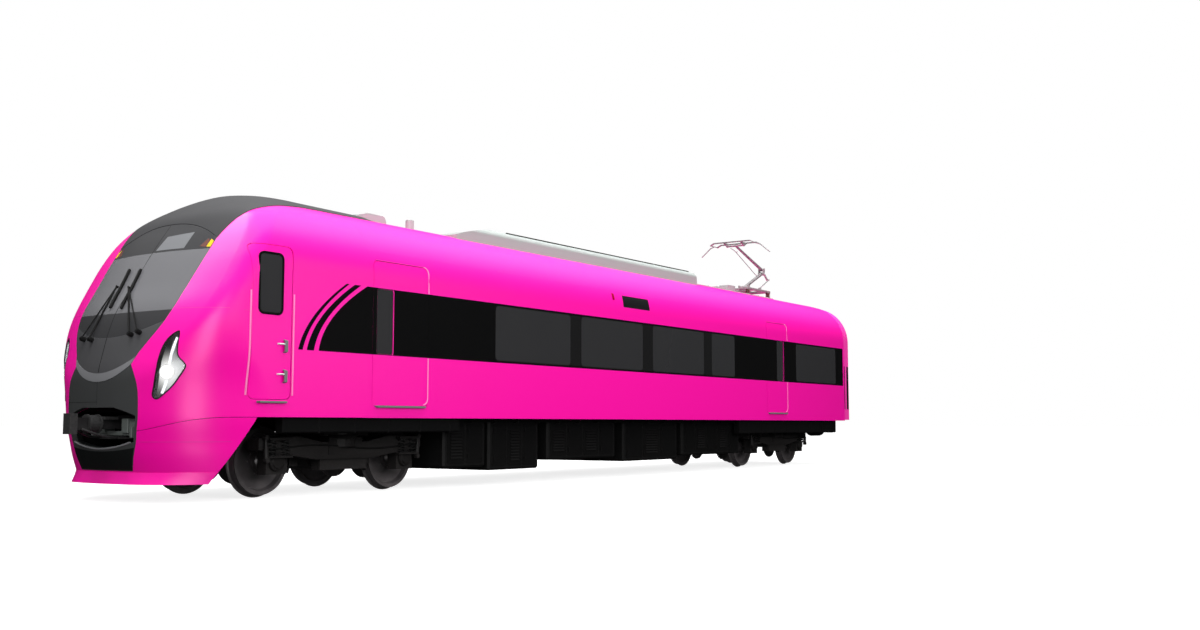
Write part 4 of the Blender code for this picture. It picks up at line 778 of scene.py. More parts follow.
def doorway(side):
    """Cutters for a cab doorway. It widens inwards at the rear post, where the leaf swings in."""
    rings = []
    for y, rear_gap in ((1.80, 0.006), (1.57, 0.006), (1.49, 0.030), (1.20, 0.030)):
        doorway = (DOOR_X[0] - rear_gap, DOOR_X[1] + 0.004)
        outline = rounded(doorway, (DOOR_Z[0] - 0.006, DOOR_Z[1] + 0.006), 0.08)
        rings.append([(x, side * y, z) for x, z in outline])
    step = block((STEP_X[0] - 0.003, STEP_X[1] + 0.003), span(side, 1.20, 1.80),
                 (STEP_Z[0] - 0.003, STEP_Z[1] + 0.003))
    return [stack(rings), step]


cab_cuts = [below_seam(-0.003)]
cab_cuts += [through_front(line, 0.0012) for line in (screen_line, mask_line, panel_line)]
for side in (1, -1):
    cab_cuts.append(through_front([(side * y, z) for y, z in lamp_line], 0.001))
    cab_cuts += doorway(side)
cab = make("cab_skin", nose_skin(0.76, NOSE_TOP, CAB_REAR + HAIR, 0.0, CAB_SKIN),
           "pink_gloss", "body_paint", stands_for=["cab_shell"], cut=cab_cuts)
print("cab skin faces", len(cab.data.polygons))

# %% [markdown]
# ## Lining
# Through the open doors and the glass one sees the inside of the cab. The lining is the same nose surface
# again, six millimetres thick and just inside the skin, with wider holes than the skin has.

# %% Cab lining
lining_cuts = [through_front(screen_line, 0.02), through_front(mask_line), below_seam(-0.35)]
for side in (1, -1):
    wide_door = rounded((17.20, 17.91), (1.16, 3.09), 0.08)
    lining_cuts.append(prism(wide_door, "y", *span(side, 1.2, 1.8)))
make("cab_lining", nose_skin(1.14, 3.80, 16.57, 0.062, 0.068, 60), "lining_grey", "lining", cut=lining_cuts)
print("lining made")

# %% [markdown]
# ## Windscreen, mask and nose panel
# The windscreen is one curved sheet with a dark print along its top and bottom, behind which the desk and
# the header disappear. The print is a second, very thin skin on the glass. Below it a dark mask carries a
# lighter band like a smile, and under that the nose panel has the coupler's mouth cut in it.

# %% Windscreen and print
make("windscreen_glass", nose_patch(1.80, 3.60, 0.0, 0.012), "screen_glass", "dark_glass",
     stands_for=["windscreen"], keep=[through_front(screen_line)], smooth=50)
HEADER_Z, DASH_Z = 3.03, 2.25
header = through_front([(1.2, HEADER_Z - 0.02), (1.2, 3.6), (-1.2, 3.6), (-1.2, HEADER_Z - 0.02)])
dash = through_front([(1.2, 1.7), (1.2, DASH_Z)] + arc(1.2, DASH_Z, DASH_Z - 0.03, 2.0, 12)
                     + [(-1.2, DASH_Z), (-1.2, 1.7)])
for name, zone in (("windscreen_print_top", header), ("windscreen_print_low", dash)):
    make(name, nose_patch(1.80, 3.60, -0.0008, 0.002), "print_grey", "black_paint",
         keep=[through_front(screen_line, -0.003), zone], smooth=50)
print("windscreen made")

# %% Mask and smile band
make("front_mask_skin", nose_patch(1.25, 2.3, 0.0, 0.02), "mask_grey", "dark_paint",
     stands_for=["front_mask"],
     keep=[through_front(mask_line, -0.0005)], smooth=50)
SMILE_LOW, SMILE_BEND = 1.492, 0.545
smile_values = np.linspace(0.60, -0.60, 41)
smile_zone = [(y, SMILE_LOW + SMILE_BEND * y * y) for y in smile_values] + [(-0.60, 1.2), (0.60, 1.2)]
make("smile_band", nose_patch(1.25, 1.8, -0.003, 0.010), "smile_grey", "dark_paint",
     keep=[through_front(mask_line, -0.002), through_front(smile_zone)], smooth=50)
print("mask made")

# %% Nose panel with its mouth
make("nose_cover", nose_patch(0.3353, 1.75, 0.0, CAB_SKIN), "panel_grey", "black_paint",
     stands_for=["nose_panel"], keep=[through_front(panel_line, -0.0005)], cut=[through_front(mouth_line)],
     smooth=50)
grille_zone = [(0.70, 0.20), (0.70, 0.64), *arc(0.70, 0.64, 0.575, 2.0, 16), (-0.70, 0.64), (-0.70, 0.20)]
make("lower_grille", nose_patch(0.3353, 0.75, -0.002, 0.010), "grille_black", "black_paint",
     keep=[through_front(panel_line, -0.012), through_front(grille_zone)],
     cut=[through_front(mouth_line, 0.02)],
     smooth=50)


def nose_strip(places, width, proud, depth=0.004, closed=False):
    """A strip laid on the nose through places seen from the front."""
    found = [on_nose(y, z) for y, z in places]
    return ribbon([p for p, _ in found], [n for _, n in found], width, proud, depth, closed)


make("mouth_rim", nose_strip(arc(0.60, 0.70, 0.605, 2.0, 24), 0.018, 0.006), "smile_grey", "black_paint")
make("panel_seams", join(
    nose_strip([(y, 1.155) for y in np.linspace(-0.668, 0.0, 14)], 0.005, 0.0008),
    nose_strip([(0.0, z) for z in np.linspace(1.12, 1.385, 10)], 0.004, 0.0008),
    *[nose_strip([(y, z) for z in np.linspace(0.36, 0.56, 8)], 0.004, 0.0028) for y in (-0.30, 0.0, 0.30)],
), "rubber_black", "black_paint")
make("mouth_liner", prism(grown(mouth_line, 0.016), "x", 18.59, 18.672), "grille_black", "black_paint",
     cut=[through_front(mouth_line, 0.002), prism(grown(mouth_line, 0.002), "x", 18.0, 19.4)])
print("nose panel made")

# %% [markdown]
# ## Headlights
# Each lamp unit is a leaf-shaped recess: a dark bowl, a bright facet on its outer side, a white light guide
# that runs past a round projector, and a clear cover flush with the skin. Built in these layers, the lamp
# has real depth when it is seen from the side.

# %% Headlights
def in_lamp(name, points, width, proud, finish_name):
    found = [on_nose(y, z) for y, z in points]
    path = [p - n * 0.022 for p, n in found]
    make(name, ribbon(path, [n for _, n in found], width, proud, 0.004), finish_name, "lamp_glass")


for side, hand in HANDS:
    line = [(side * y, z) for y, z in lamp_line]
    make(f"headlight_bowl_{hand}", nose_patch(1.1, 2.05, 0.040, 0.058, 90), "lamp_bowl", "black_paint",
         keep=[through_front(line, -0.001)])
    make(f"headlight_cover_{hand}", nose_patch(1.1, 2.05, 0.0015, 0.005, 90), "lens_clear", "lamp_glass",
         stands_for=[f"headlight_{hand}"], keep=[through_front(line, -0.002)], smooth=50)
    wall = through_front(line, -0.0015), through_front(line, -0.010)
    make(f"headlight_wall_{hand}", nose_patch(1.1, 2.05, 0.001, 0.056, 90), "rubber_black", "black_paint",
         keep=[wall[0]], cut=[wall[1]])
    facet = [(1.10, 1.94), (1.098, 1.80), (1.108, 1.70), (1.135, 1.645), (1.165, 1.595), (1.172, 1.555),
             (1.11, 1.44), (1.035, 1.325), (0.95, 1.235), (0.99, 1.33), (1.03, 1.50), (1.05, 1.62),
             (1.08, 1.78)]
    make(f"headlight_facet_{hand}", nose_patch(1.1, 2.05, 0.016, 0.030, 90), "lamp_chrome", "lamp_glass",
         keep=[through_front([(side * y, z) for y, z in facet])], smooth=50)
    guide = curve_through([
        (1.085, 1.90), (1.062, 1.76), (1.048, 1.63), (1.034, 1.50), (1.00, 1.37), (0.955, 1.245)], 5)
    in_lamp(f"headlight_guide_{hand}", [(side * y, z) for y, z in guide], 0.034, 0.012, "guide_white")
    centre, out = on_nose(side * LAMP_Y, LAMP_Z)
    turn = out.to_track_quat("Z", "Y").to_matrix()
    reflector = [(-0.036, 0.0), (-0.036, 0.086), (-0.004, 0.090), (-0.004, 0.078), (-0.028, 0.060),
                 (-0.030, 0.0)]
    projector = [(-0.032, 0.0), (-0.032, 0.060), (-0.014, 0.058), (-0.005, 0.038), (-0.003, 0.0)]
    for part, profile, look in (("reflector", reflector, "lamp_chrome"),
                                ("projector", projector, "lamp_white")):
        shape = lathe(profile, "z", (0.0, 0.0, 0.0), 40)
        shape = ([tuple(centre + turn @ Vector(p)) for p in shape[0]], shape[1])
        make(f"headlight_{part}_{hand}", shape, look, "lamp_glass")
    make(f"headlight_rim_{hand}", nose_strip(line, 0.010, 0.003, 0.004, True),
         "rubber_black", "black_paint")
print("headlights made")

# %% [markdown]
# ## Skirt and roof hood
# The skirt hangs below the seam and is cut off on a slant in front of the bogie. Its lower edge flares into
# a lip, which is a strip between two level lines, moved outwards less and less towards the sides. The hood
# is the dark fairing on the roof: its edges follow measured half widths along the car, and its middle
# stands higher.

# %% Skirt and lip
LIP_LOW, LIP_TOP, LIP_OUT = 0.195, 0.335, 0.09
lip_rows = []
for t in np.linspace(0.0, 1.0, 8):
    z = LIP_LOW + (LIP_TOP - LIP_LOW) * t
    near, far = (np.array(nose_ring(z, 17.1, out=out)) for out in (0.002, 0.002 + LIP_OUT * (1 - t)))
    fade = np.array([1 - smoothstep((abs(y) - 0.50) / 0.85) for y in near[:, 1]])[:, None]
    lip_rows.append(near + (far - near) * fade)
lip_outer = np.array(lip_rows)
lip_inner = np.array([nose_ring(z, 17.1, out=-0.05) for z in np.linspace(LIP_LOW, LIP_TOP, 8)])
slant = [(16.5, 0.0), (17.72 + 0.54 * 0.977, 0.0), (17.72 - 0.054, 1.077), (16.5, 1.077)]
slant = prism(slant, "y", -2.0, 2.0)
make("skirt_skin", nose_skin(SKIRT_LOW, 0.997, 17.10, 0.0, CAB_SKIN), "pink_gloss", "body_paint",
     stands_for=["front_skirt"], keep=[below_seam(0.003)], cut=[through_front(panel_line, 0.0012), slant])
make("skirt_lip", grid_shell(lip_outer, lip_inner), "pink_gloss", "body_paint", cut=[slant])
make("seam_strip", nose_skin(0.70, 1.0, 17.3, 0.012, 0.03, 200), "rubber_black", "black_paint",
     keep=[below_seam(-0.02)], cut=[below_seam(0.02), through_front(panel_line, -0.01), slant])
seam_line = [(y, 0.69) for y in np.linspace(0.66, 1.40, 24)]
make("skirt_line", join(*[nose_strip([(s * y, z) for y, z in seam_line], 0.004, 0.0006) for s in (1, -1)]),
     "pink_seam", "body_paint")
print("skirt made")

# %% Roof hood
HOOD_REAR, HOOD_EDGE, HOOD_DEPTH = 14.78, 0.008, 0.03
HOOD_WIDTH = np.array([
    (14.78, .50), (16.00, .68), (16.45, .80), (16.85, .985), (17.15, 1.045), (17.55, 1.07), (17.75, 1.02),
    (17.94, .964)])
HOOD_RISE = np.array([(0.0, .04), (.03, .085), (.75, .088), (.88, .045), (.96, .006), (1.0, 0.0)])


def roof_height(x, y):
    """Height of the roof's outside at a place on the plan."""
    low, high = 2.9, NOSE_TOP
    for _ in range(26):
        z = (low + high) / 2
        inside = abs(y) < half_width(z) and (x < CAB_REAR or x < nose_x(y, z))
        low, high = (z, high) if inside else (low, z)
    return low


hood_outer, hood_inner = [], []
for t in np.sin(np.linspace(0, math.pi / 2, 44)):
    outer_row, inner_row = [], []
    for s in np.linspace(-1, 1, 31):
        seam_y = screen_side[0][0] * s
        seam_height = SCREEN_TOP + (screen_side[0][1] - SCREEN_TOP) * abs(s) ** TOP_POWER
        x = HOOD_REAR + t * (nose_x(seam_y, seam_height) - HOOD_REAR)
        y = s * float(smooth_through(HOOD_WIDTH[:, 0], HOOD_WIDTH[:, 1], [x])[0]) if t < 1 else seam_y
        base = roof_height(x, y) if t < 1 else seam_height
        rise = float(smooth_through(HOOD_RISE[:, 0], HOOD_RISE[:, 1], [t])[0])
        outer_row.append((x, y, base + HOOD_EDGE + rise * (1 - s * s)))
        inner_row.append((x, y, base - HOOD_DEPTH))
    hood_outer.append(outer_row)
    hood_inner.append(inner_row)
make("hood_skin", grid_shell(np.array(hood_outer), np.array(hood_inner)), "hood_grey", "dark_paint",
     stands_for=["roof_hood"], smooth=50)
print("hood made")

# %% [markdown]
# ## Small things on the nose
# Thin seams between panels are strips less than a millimetre proud, which read as lines at this size. The
# wipers have an arm from a pivot on the mask and a blade that lies on the glass; every point is placed on
# the nose's law, so they follow its curve.

# %% Seams, wipers, markers and display
make("screen_seams", join(
    nose_strip([(0.0, z) for z in np.linspace(1.50, 3.39, 50)], 0.010, 0.0012),
    nose_strip([(y, z + 0.002) for y, z in screen_top_arc], 0.007, 0.0012),
), "rubber_black", "black_paint")
for side, hand in HANDS:
    front_part = [(side * y, 2.249) for y in np.linspace(0.954, 1.50, 22)]
    rear_part = [((x, side * (side_y(x, 2.235)), 2.235)) for x in (17.98, 17.93, 17.88)]
    found = [on_nose(y, z) for y, z in front_part]
    make(f"cab_side_seam_{hand}", ribbon([p for p, _ in found] + rear_part,
         [n for _, n in found] + [Vector((0.1, side, 0.0))] * 3, 0.004, 0.0007), "pink_seam", "body_paint")


def on_screen(y, z, lift):
    point, normal = on_nose(y, z)
    return point + normal * lift


def wiper(name, pivots, tip, blade_low, blade_high):
    """Two straight arms from their pivots to the blade's carrier, and the blade with its rubber."""
    parts = [tube([on_screen(*tip, 0.020), on_screen(*tip, 0.055)], 0.014, 10)]
    for pivot, thickness in zip(pivots, (0.012, 0.008)):
        parts.append(tube([on_screen(*pivot, 0.050), on_screen(*tip, 0.045)], thickness, 8))
        centre, out = on_nose(*pivot)
        parts += [tube([centre - out * 0.01, centre + out * 0.055], 0.030, 20),
                  tube([centre + out * 0.055, centre + out * 0.068], 0.018, 16)]
    low, high = np.array(blade_low), np.array(blade_high)
    found = [on_nose(*(low + (high - low) * t)) for t in np.linspace(0, 1, 12)]
    normals = [n for _, n in found]
    parts.append(ribbon([p + n * 0.008 for p, n in found], normals, 0.014, 0.012, 0.006))
    parts.append(ribbon([p + n * 0.022 for p, n in found], normals, 0.040, 0.010, 0.006))
    make(name, join(*parts), "rubber_black", "black_paint")


wiper("wiper_left", ((0.44, 1.94), (0.555, 1.965)), (0.02, 2.53), (0.09, 2.27), (0.00, 2.78))
wiper("wiper_right", ((-0.30, 1.905), (-0.50, 1.920)), (-0.26, 2.56), (-0.15, 2.29), (-0.25, 2.80))
for side, hand in HANDS:
    yellow = [(side * y, z) for y, z in ((0.890, 3.035), (0.952, 3.030), (0.952, 3.105), (0.896, 3.140))]
    brown = [(side * y, z) for y, z in ((0.783, 3.045), (0.884, 3.030), (0.888, 3.120), (0.848, 3.150))]
    for part, zone, look in (("yellow", yellow, "marker_yellow"), ("brown", brown, "marker_brown")):
        make(f"marker_{part}_{hand}", nose_patch(2.9, 3.3, -0.0018, 0.0, 130), look, "lamp_glass",
             keep=[through_front(zone)], smooth=50)
display = [(0.047, 3.036), (0.544, 3.037), (0.552, 3.254), (0.104, 3.223)]
make("front_display", nose_patch(2.9, 3.45, -0.0018, 0.0, 130), "display_grey", "lamp_glass",
     keep=[through_front(display)], smooth=50)
print("small things on the nose made")

# %% [markdown]
# ## Cab doors
# The leaf is a piece of the same skin, so the door is flush and its gap follows the curve. Rubber holds the
# window and two grab handles stand beside it; the white of their arms is painted in place of a chrome
# reflection. A raised rail runs down each side of the doorway, in a paler pink that is a painted highlight.
# The leaf, glass, rubber and handles ride on the door's body; the rails and the step belong to the car.

# %% Cab doors
def side_point(x, z, side, lift=0.0):
    return Vector((x, side * (side_y(x, z) + lift), z))


def shrunk(ends, amount):
    return ends[0] + amount, ends[1] - amount


GRIP_X = 17.355


for side, hand in HANDS:
    door_body, reach = f"cab_door_{hand}", span(side, 1.40, 1.8)
    window = prism(rounded(WINDOW_X, WINDOW_Z, 0.07), "y", *reach)
    make(f"cab_leaf_{hand}", nose_patch(1.0, 3.3, 0.0, 0.05), "pink_gloss", "body_paint", door_body,
         [f"cab_door_{hand}"], keep=[prism(rounded(DOOR_X, DOOR_Z, 0.08), "y", *reach)], cut=[window])
    pane_line = rounded(shrunk(WINDOW_X, 0.002), shrunk(WINDOW_Z, 0.002), 0.07)
    make(f"cab_pane_{hand}", nose_patch(1.9, 3.3, 0.0, 0.012), "window_glass", "dark_glass", door_body,
         [f"cab_door_glass_{hand}"], keep=[prism(pane_line, "y", *reach)])
    rubber_line = rounded(shrunk(WINDOW_X, 0.006), shrunk(WINDOW_Z, 0.006), 0.066)
    rubber = ribbon([side_point(x, z, side, 0.002) for x, z in rubber_line],
                    [Vector((0, side, 0))] * len(rubber_line), 0.030, 0.006, 0.008, True)
    make(f"cab_window_rubber_{hand}", rubber, "band_black", "black_paint", door_body)
    grips, arms = [], []
    for low, high, arm_z in ((1.759, 1.915, 1.862), (1.393, 1.550, 1.496)):
        path = [side_point(GRIP_X, z, side, lift)
                for z, lift in ((low, -0.01), (low + 0.012, 0.030), (high - 0.012, 0.030), (high, -0.01))]
        outwards = [Vector((0, side * y, z)) for y, z in ((0, -1), (1, -1), (1, 1), (0, 1))]
        grips.append(sweep(path, [(-0.022, -0.008), (-0.022, 0.008), (0.022, 0.008), (0.022, -0.008)],
                           outwards))
        arms.append(tube([side_point(GRIP_X, arm_z, side, 0.027), side_point(17.459, arm_z, side, 0.024),
                          side_point(17.462, arm_z, side, -0.005)], 0.010, 12))
    make(f"cab_grips_{hand}", join(*grips), "grip_grey", "light_grey_metal", door_body, bevel=0.002)
    # The arms are painted white in place of a chrome reflection.
    make(f"cab_handles_{hand}", join(*arms), "handle_painted_glint", "light_grey_metal", door_body)
    # Raised rails beside the doorway; their paler pink is a painted highlight.
    rails = []
    for x in (17.225, 17.886):
        heights = np.linspace(1.24, 2.48, 24)
        rails.append(ribbon([side_point(x, z, side) for z in heights],
                            [Vector((0, side, 0))] * 24, 0.018, 0.012))
    make(f"cab_door_rails_{hand}", join(*rails), "pink_painted_highlight", "body_paint")
    step = block(shrunk(STEP_X, -0.002), span(side, 1.50, STEP_OUT), shrunk(STEP_Z, -0.0015))
    make(f"cab_step_{hand}", step, "grip_grey", "light_grey_metal", bevel=0.003)
print("cab doors made")

# %% [markdown]
# ## Sides and roof of the saloon
# The body is one drawn section pushed along the car: a flat side, a big round shoulder and a flat crown.
# With many points round the shoulder the highlight along it stays even for the whole length. Window and
# door openings are cut through it. The stripes and the black band in front of the first door are films half
# a millimetre thick.

# %% Body section
def section(inset, low_z, high_z, steps=40):
    """Left half of the body's section, offset inwards, between two heights."""
    points = [(SIDE_Y - inset, low_z)] if low_z < SHOULDER_Z else []
    for i in range(steps + 1):
        angle = (math.pi / 2 - CROWN_ANGLE) * i / steps
        radius = SHOULDER_RADIUS - inset
        points.append((SHOULDER_Y + radius * math.cos(angle), SHOULDER_Z + radius * math.sin(angle)))
    for i in range(1, 13):
        angle, radius = CROWN_ANGLE * (1 - i / 12), CROWN_RADIUS - inset
        points.append((radius * math.sin(angle), CROWN_Z - CROWN_RADIUS + radius * math.cos(angle)))
    return [(y, z) for y, z in points if low_z <= z <= high_z]


WALL_TOP, END_WALL = 3.20, 0.08
BODY_X = (END_WALL + HAIR, CAB_REAR - HAIR)
FILM_PROUD, PANE_PROUD = 0.0006, 0.0008
FRONT_DOOR, REAR_DOOR, SALOON_Z = (14.79, 15.862), (3.18, 4.188), (1.138, 3.066)
BAND_Z, PANE_Z = (1.81, 2.70), (1.845, 2.665)
MAIN_BAND, REAR_BAND, REAR_PANE = (4.26, 14.72), (0.494, 2.742), (0.52, 2.72)
WINDOWS = [(11.373, 13.303), (9.151, 11.061), (6.922, 8.805), (5.646, 6.600)]
for side, hand in HANDS:
    outer = section(0.0, BODY_LOW, WALL_TOP) + [(half_width(WALL_TOP), WALL_TOP)]
    outline = [(side * y, z) for y, z in outer + [(y - 0.10, z) for y, z in reversed(outer)]]
    reach, recess = span(side, 1.2, 1.8), span(side, 1.548, 1.8)
    doorway_z = (SALOON_Z[0] - 0.02, SALOON_Z[1] + 0.003)
    openings = [prism(rounded(shrunk(ends, -0.003), doorway_z, 0.09), "y", *reach)
                for ends in (FRONT_DOOR, REAR_DOOR)]
    openings += [block((a, b), recess, BAND_Z) for a, b in (MAIN_BAND, REAR_BAND)]
    openings += [block((a, b), reach, (1.87, 2.66)) for a, b in [*WINDOWS, (0.554, 2.682)]]
    make(f"body_side_{hand}", prism(outline, "x", *BODY_X), "pink_gloss", "body_paint",
         stands_for=[f"side_wall_{hand}"], cut=openings)
roof_half = [(half_width(WALL_TOP), WALL_TOP + HAIR)] + section(0.0, WALL_TOP + 0.001, 4.0)
roof_inner = [(half_width(WALL_TOP) - 0.10, WALL_TOP + HAIR)] + section(0.08, WALL_TOP + 0.02, 4.0)
roof_line = roof_half + [(-y, z) for y, z in roof_half[-2::-1]]
roof_line += [(-y, z) for y, z in roof_inner] + roof_inner[-2::-1]
make("roof_skin", prism(roof_line, "x", *BODY_X), "pink_gloss", "body_paint",
     stands_for=["roof"])
print("sides and roof made")

# %% Films: stripes and black band
def lean(start, slope, bend, t):
    return start - slope * t - bend * t * t


def film(lines):
    """An area of the side, as high as the band, between two leaning edges: (start, slope, bend) each."""
    steps = np.linspace(0, 1, 25)
    height = [BAND_Z[0] + (BAND_Z[1] - BAND_Z[0]) * t for t in steps]
    first, second = ([(lean(*edge, t), z) for t, z in zip(steps, height)] for edge in lines)
    return first + second[::-1]


FILMS = {
    "stripe_front": [(17.141, 0.224, 0.567), (17.069, 0.217, 0.552)],
    "stripe_middle": [(17.002, 0.182, 0.615), (16.886, 0.166, 0.627)],
    "band_nose": [(16.806, 0.113, 0.714), (15.866, 0.0, 0.0)],
}
for side, hand in HANDS:
    out = span(side, SIDE_Y - 0.001, SIDE_Y + FILM_PROUD)
    for name, lines in FILMS.items():
        make(f"{name}_{hand}", prism(film(lines), "y", *out), "band_black", "black_paint")
    for name, (a, b) in (("band_gap_front", (14.7195, 14.7872)), ("band_gap_rear", (4.1908, 4.2605)),
                         ("band_rear", (2.7415, 3.1772)), ("band_end", (0.0805, 0.4945))):
        make(f"{name}_{hand}", block((a, b), out, BAND_Z), "band_black", "black_paint")
    pillars = [block((a + 0.004, b - 0.004), out, PANE_Z) for (_, a), (b, _) in zip(WINDOWS[1:], WINDOWS)]
    make(f"band_pillars_{hand}", join(*pillars), "pillar_black", "dark_glass")
for side, hand in HANDS:
    seals = [block((x - 0.0045, x + 0.0045), span(side, 1.50, SIDE_Y - 0.0008), BAND_Z)
             for a, b in (FRONT_DOOR, REAR_DOOR) for x in (a, b)]
    make(f"door_seals_{hand}", join(*seals), "band_black", "black_paint")
print("films made")

# %% [markdown]
# ## Windows
# From outside, the windows are one long black band of glass: only the parts in front of the openings let
# light through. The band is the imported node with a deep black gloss, and each clear part is its own thin
# pane with round corners, a shade lighter, as in the photograph.

# %% Window panes
for side, hand in HANDS:
    out = span(side, SIDE_Y - 0.002, SIDE_Y + PANE_PROUD)
    for place, ends in [*enumerate(WINDOWS, 1), ("rear", REAR_PANE)]:
        pane = prism(rounded(ends, PANE_Z, 0.06), "y", *out)
        make(f"pane_{place}_{hand}", pane, "window_glass", "dark_glass")
print("panes made")

# %% [markdown]
# ## Passenger doors
# Each leaf follows the side's section, with round corners at the top. Seen from the front, the rear edge of
# the doorway catches the light, so a narrow strip of paler pink, a painted highlight, runs round that edge,
# and a dark drip strip closes the top. The black band goes on across the leaf, and a step with rubber
# treads sits under it.

# %% Passenger doors
DOORS = {"front": (FRONT_DOOR, (15.493, 15.793)), "rear": (REAR_DOOR, (3.399, 3.692))}
DRIP_Z, LINE_GAP = 3.074, {"front": 0.012, "rear": 0.036}
LEAF_LINE = [(0.02, 2.692), (0.006, 2.680), (0.0, 2.66), (0.0, 1.85), (0.006, 1.83), (0.02, 1.818)]
for side, hand in HANDS:
    for place, ((a, b), pane) in DOORS.items():
        low, high = SALOON_Z[0] + HAIR, SALOON_Z[1] - 0.003
        outer = section(0.0, low, 3.2)
        outline = [(side * y, z) for y, z in outer + [(y - 0.05, z) for y, z in reversed(outer)]]
        reach = span(side, 1.2, 1.8)
        zone = prism(rounded((a + 0.003, b - 0.003), (low - 0.2, high), 0.087), "y", *reach)
        band = [(a + 0.0028, b - 0.0028), span(side, SIDE_Y - 0.001, SIDE_Y + FILM_PROUD), BAND_Z]
        glass = rounded(pane, (BAND_Z[0] + 0.012, BAND_Z[1] - 0.012), 0.035)
        foot = block((a, b), reach, (0.5, low))
        make(f"{place}_leaf_{hand}", prism(outline, "x", a, b), "pink_gloss", "body_paint", "car_body",
             [f"{place}_door_{hand}"], keep=[zone], cut=[foot, prism(glass, "y", *reach)])
        make(f"{place}_leaf_band_{hand}", block(*band), "band_black", "black_paint",
             cut=[prism(grown(glass, 0.001), "y", *reach)])
        make(f"{place}_leaf_pane_{hand}", prism(grown(glass, -0.001), "y", *span(side, 1.530, 1.5585)),
             "window_glass", "dark_glass", stands_for=[f"{place}_door_glass_{hand}"])
        line_x = pane[0] - LINE_GAP[place]
        path = [Vector((line_x + shift, side * SIDE_Y, z)) for shift, z in LEAF_LINE]
        make(f"{place}_leaf_line_{hand}", ribbon(path, [Vector((0, side, 0))] * len(path), 0.012, 0.003),
             "pink_gloss", "body_paint")
        # A strip of paler pink round the rear edge of the doorway: a painted highlight.
        highlight_x = a - 0.006
        edge = sorted((p for p in rounded((highlight_x, b), (1.16, DRIP_Z), 0.09) if p[0] < a + 0.12),
                      key=lambda p: p[1])
        upper = [(highlight_x, 2.705)] + [p for p in edge if p[1] > 2.72]
        lower = [p for p in edge if p[1] < 1.79] + [(highlight_x, 1.805)]
        edge_highlights = []
        for part in (upper, lower):
            path = [Vector((x, side * half_width(z), z)) for x, z in part]
            outwards = [Vector((0, side, 0.0 if p.z < SHOULDER_Z else 0.2)) for p in path]
            edge_highlights.append(ribbon(path, outwards, 0.016, 0.005))
        make(f"{place}_door_trim_{hand}", join(*edge_highlights), "pink_painted_highlight", "body_paint")
        drip_z = DRIP_Z - 0.0005
        path = [Vector((x, side * half_width(drip_z), drip_z)) for x in np.linspace(a + 0.09, b - 0.05, 8)]
        make(f"{place}_door_drip_{hand}", ribbon(path, [Vector((0, side, 0.2))] * 8, 0.012, 0.005),
             "pink_seam", "body_paint")
        step = block(shrunk((a, b), 0.068), span(side, 1.50, STEP_OUT), (1.113, 1.1395))
        make(f"{place}_step_{hand}", step, "grip_grey", "light_grey_metal", bevel=0.003)
        treads = [block((x, x + 0.012), span(side, 1.566, 1.598), (1.138, 1.1415))
                  for x in np.arange(a + 0.09, b - 0.09, 0.03)]
        make(f"{place}_step_tread_{hand}", join(*treads), "rubber_black", "black_paint")
print("passenger doors made")

# %% [markdown]
# ## Sign and side lamp
# A dark sign and a small red lamp are let into the shoulder above the windows. Both follow the body's
# section, so each is a shell between two grids of points at its own heights. The sign is left blank.

# %% Sign and side lamp
IN_SHOULDER = {
    "side_sign": ((8.909, 9.772), (2.93, 3.135, 8), 0.002, ("sign_dark", "dark_glass"), 0.0),
    "side_lamp": ((10.045, 10.095), (3.03, 3.146, 6), 0.012, ("lamp_red", "lamp_glass"), 0.004),
}
for side, hand in HANDS:
    for part, (ends, rows, proud, looks, bevel) in IN_SHOULDER.items():
        grids = [np.array([[(x, side * (half_width(z) + lift), z) for x in ends]
                           for z in np.linspace(*rows)])
                 for lift in (proud, -0.02)]
        make(f"{part}_{hand}", grid_shell(*grids), *looks, bevel=bevel)
print("signs made")

# %% [markdown]
# ## Rear end and gangway
# The gangway is a rubber cover with the body's own section, so that two cars look like one. Two dark
# rubbing strips run up each side of it.

# %% Gangway
gangway_half = section(0.015, BODY_LOW + 0.02, 4.0)
gangway_line = gangway_half + [(-y, z) for y, z in gangway_half[-2::-1]]
passage = block((-2, 1), (-0.75, 0.75), (1.13, 3.25))
make("gangway_cover", prism(gangway_line, "x", -0.2995, -0.0005), "gangway_pink", "gangway_rubber",
     stands_for=["gangway"], cut=[passage])
for side, hand in HANDS:
    strips = [block(x, span(side, 1.54, 1.5505), (1.25, 2.28)) for x in ((-0.065, -0.03), (-0.27, -0.17))]
    make(f"gangway_strips_{hand}", join(*strips), "rubber_black", "black_paint", bevel=0.003)
door_frame = rounded((-0.46, 0.46), (1.13, 3.06), 0.06)
frame_section = [(-0.02, -0.01), (-0.02, 0.015), (0.02, 0.015), (0.02, -0.01)]
make("end_door_frame", sweep([(0.079, y, z) for y, z in door_frame], frame_section,
                             [Vector((1, 0, 0))] * len(door_frame), True), "step_grey", "light_grey_metal")
print("gangway made")

# %% [markdown]
# ## On the roof
# The air conditioner is a long moulded cover with a sloped front. Its section is drawn with a round
# shoulder, and the slope and the rear corner are cut as curves. Fans, seams and bolts stand on it. A black
# strip runs along the upper edge.

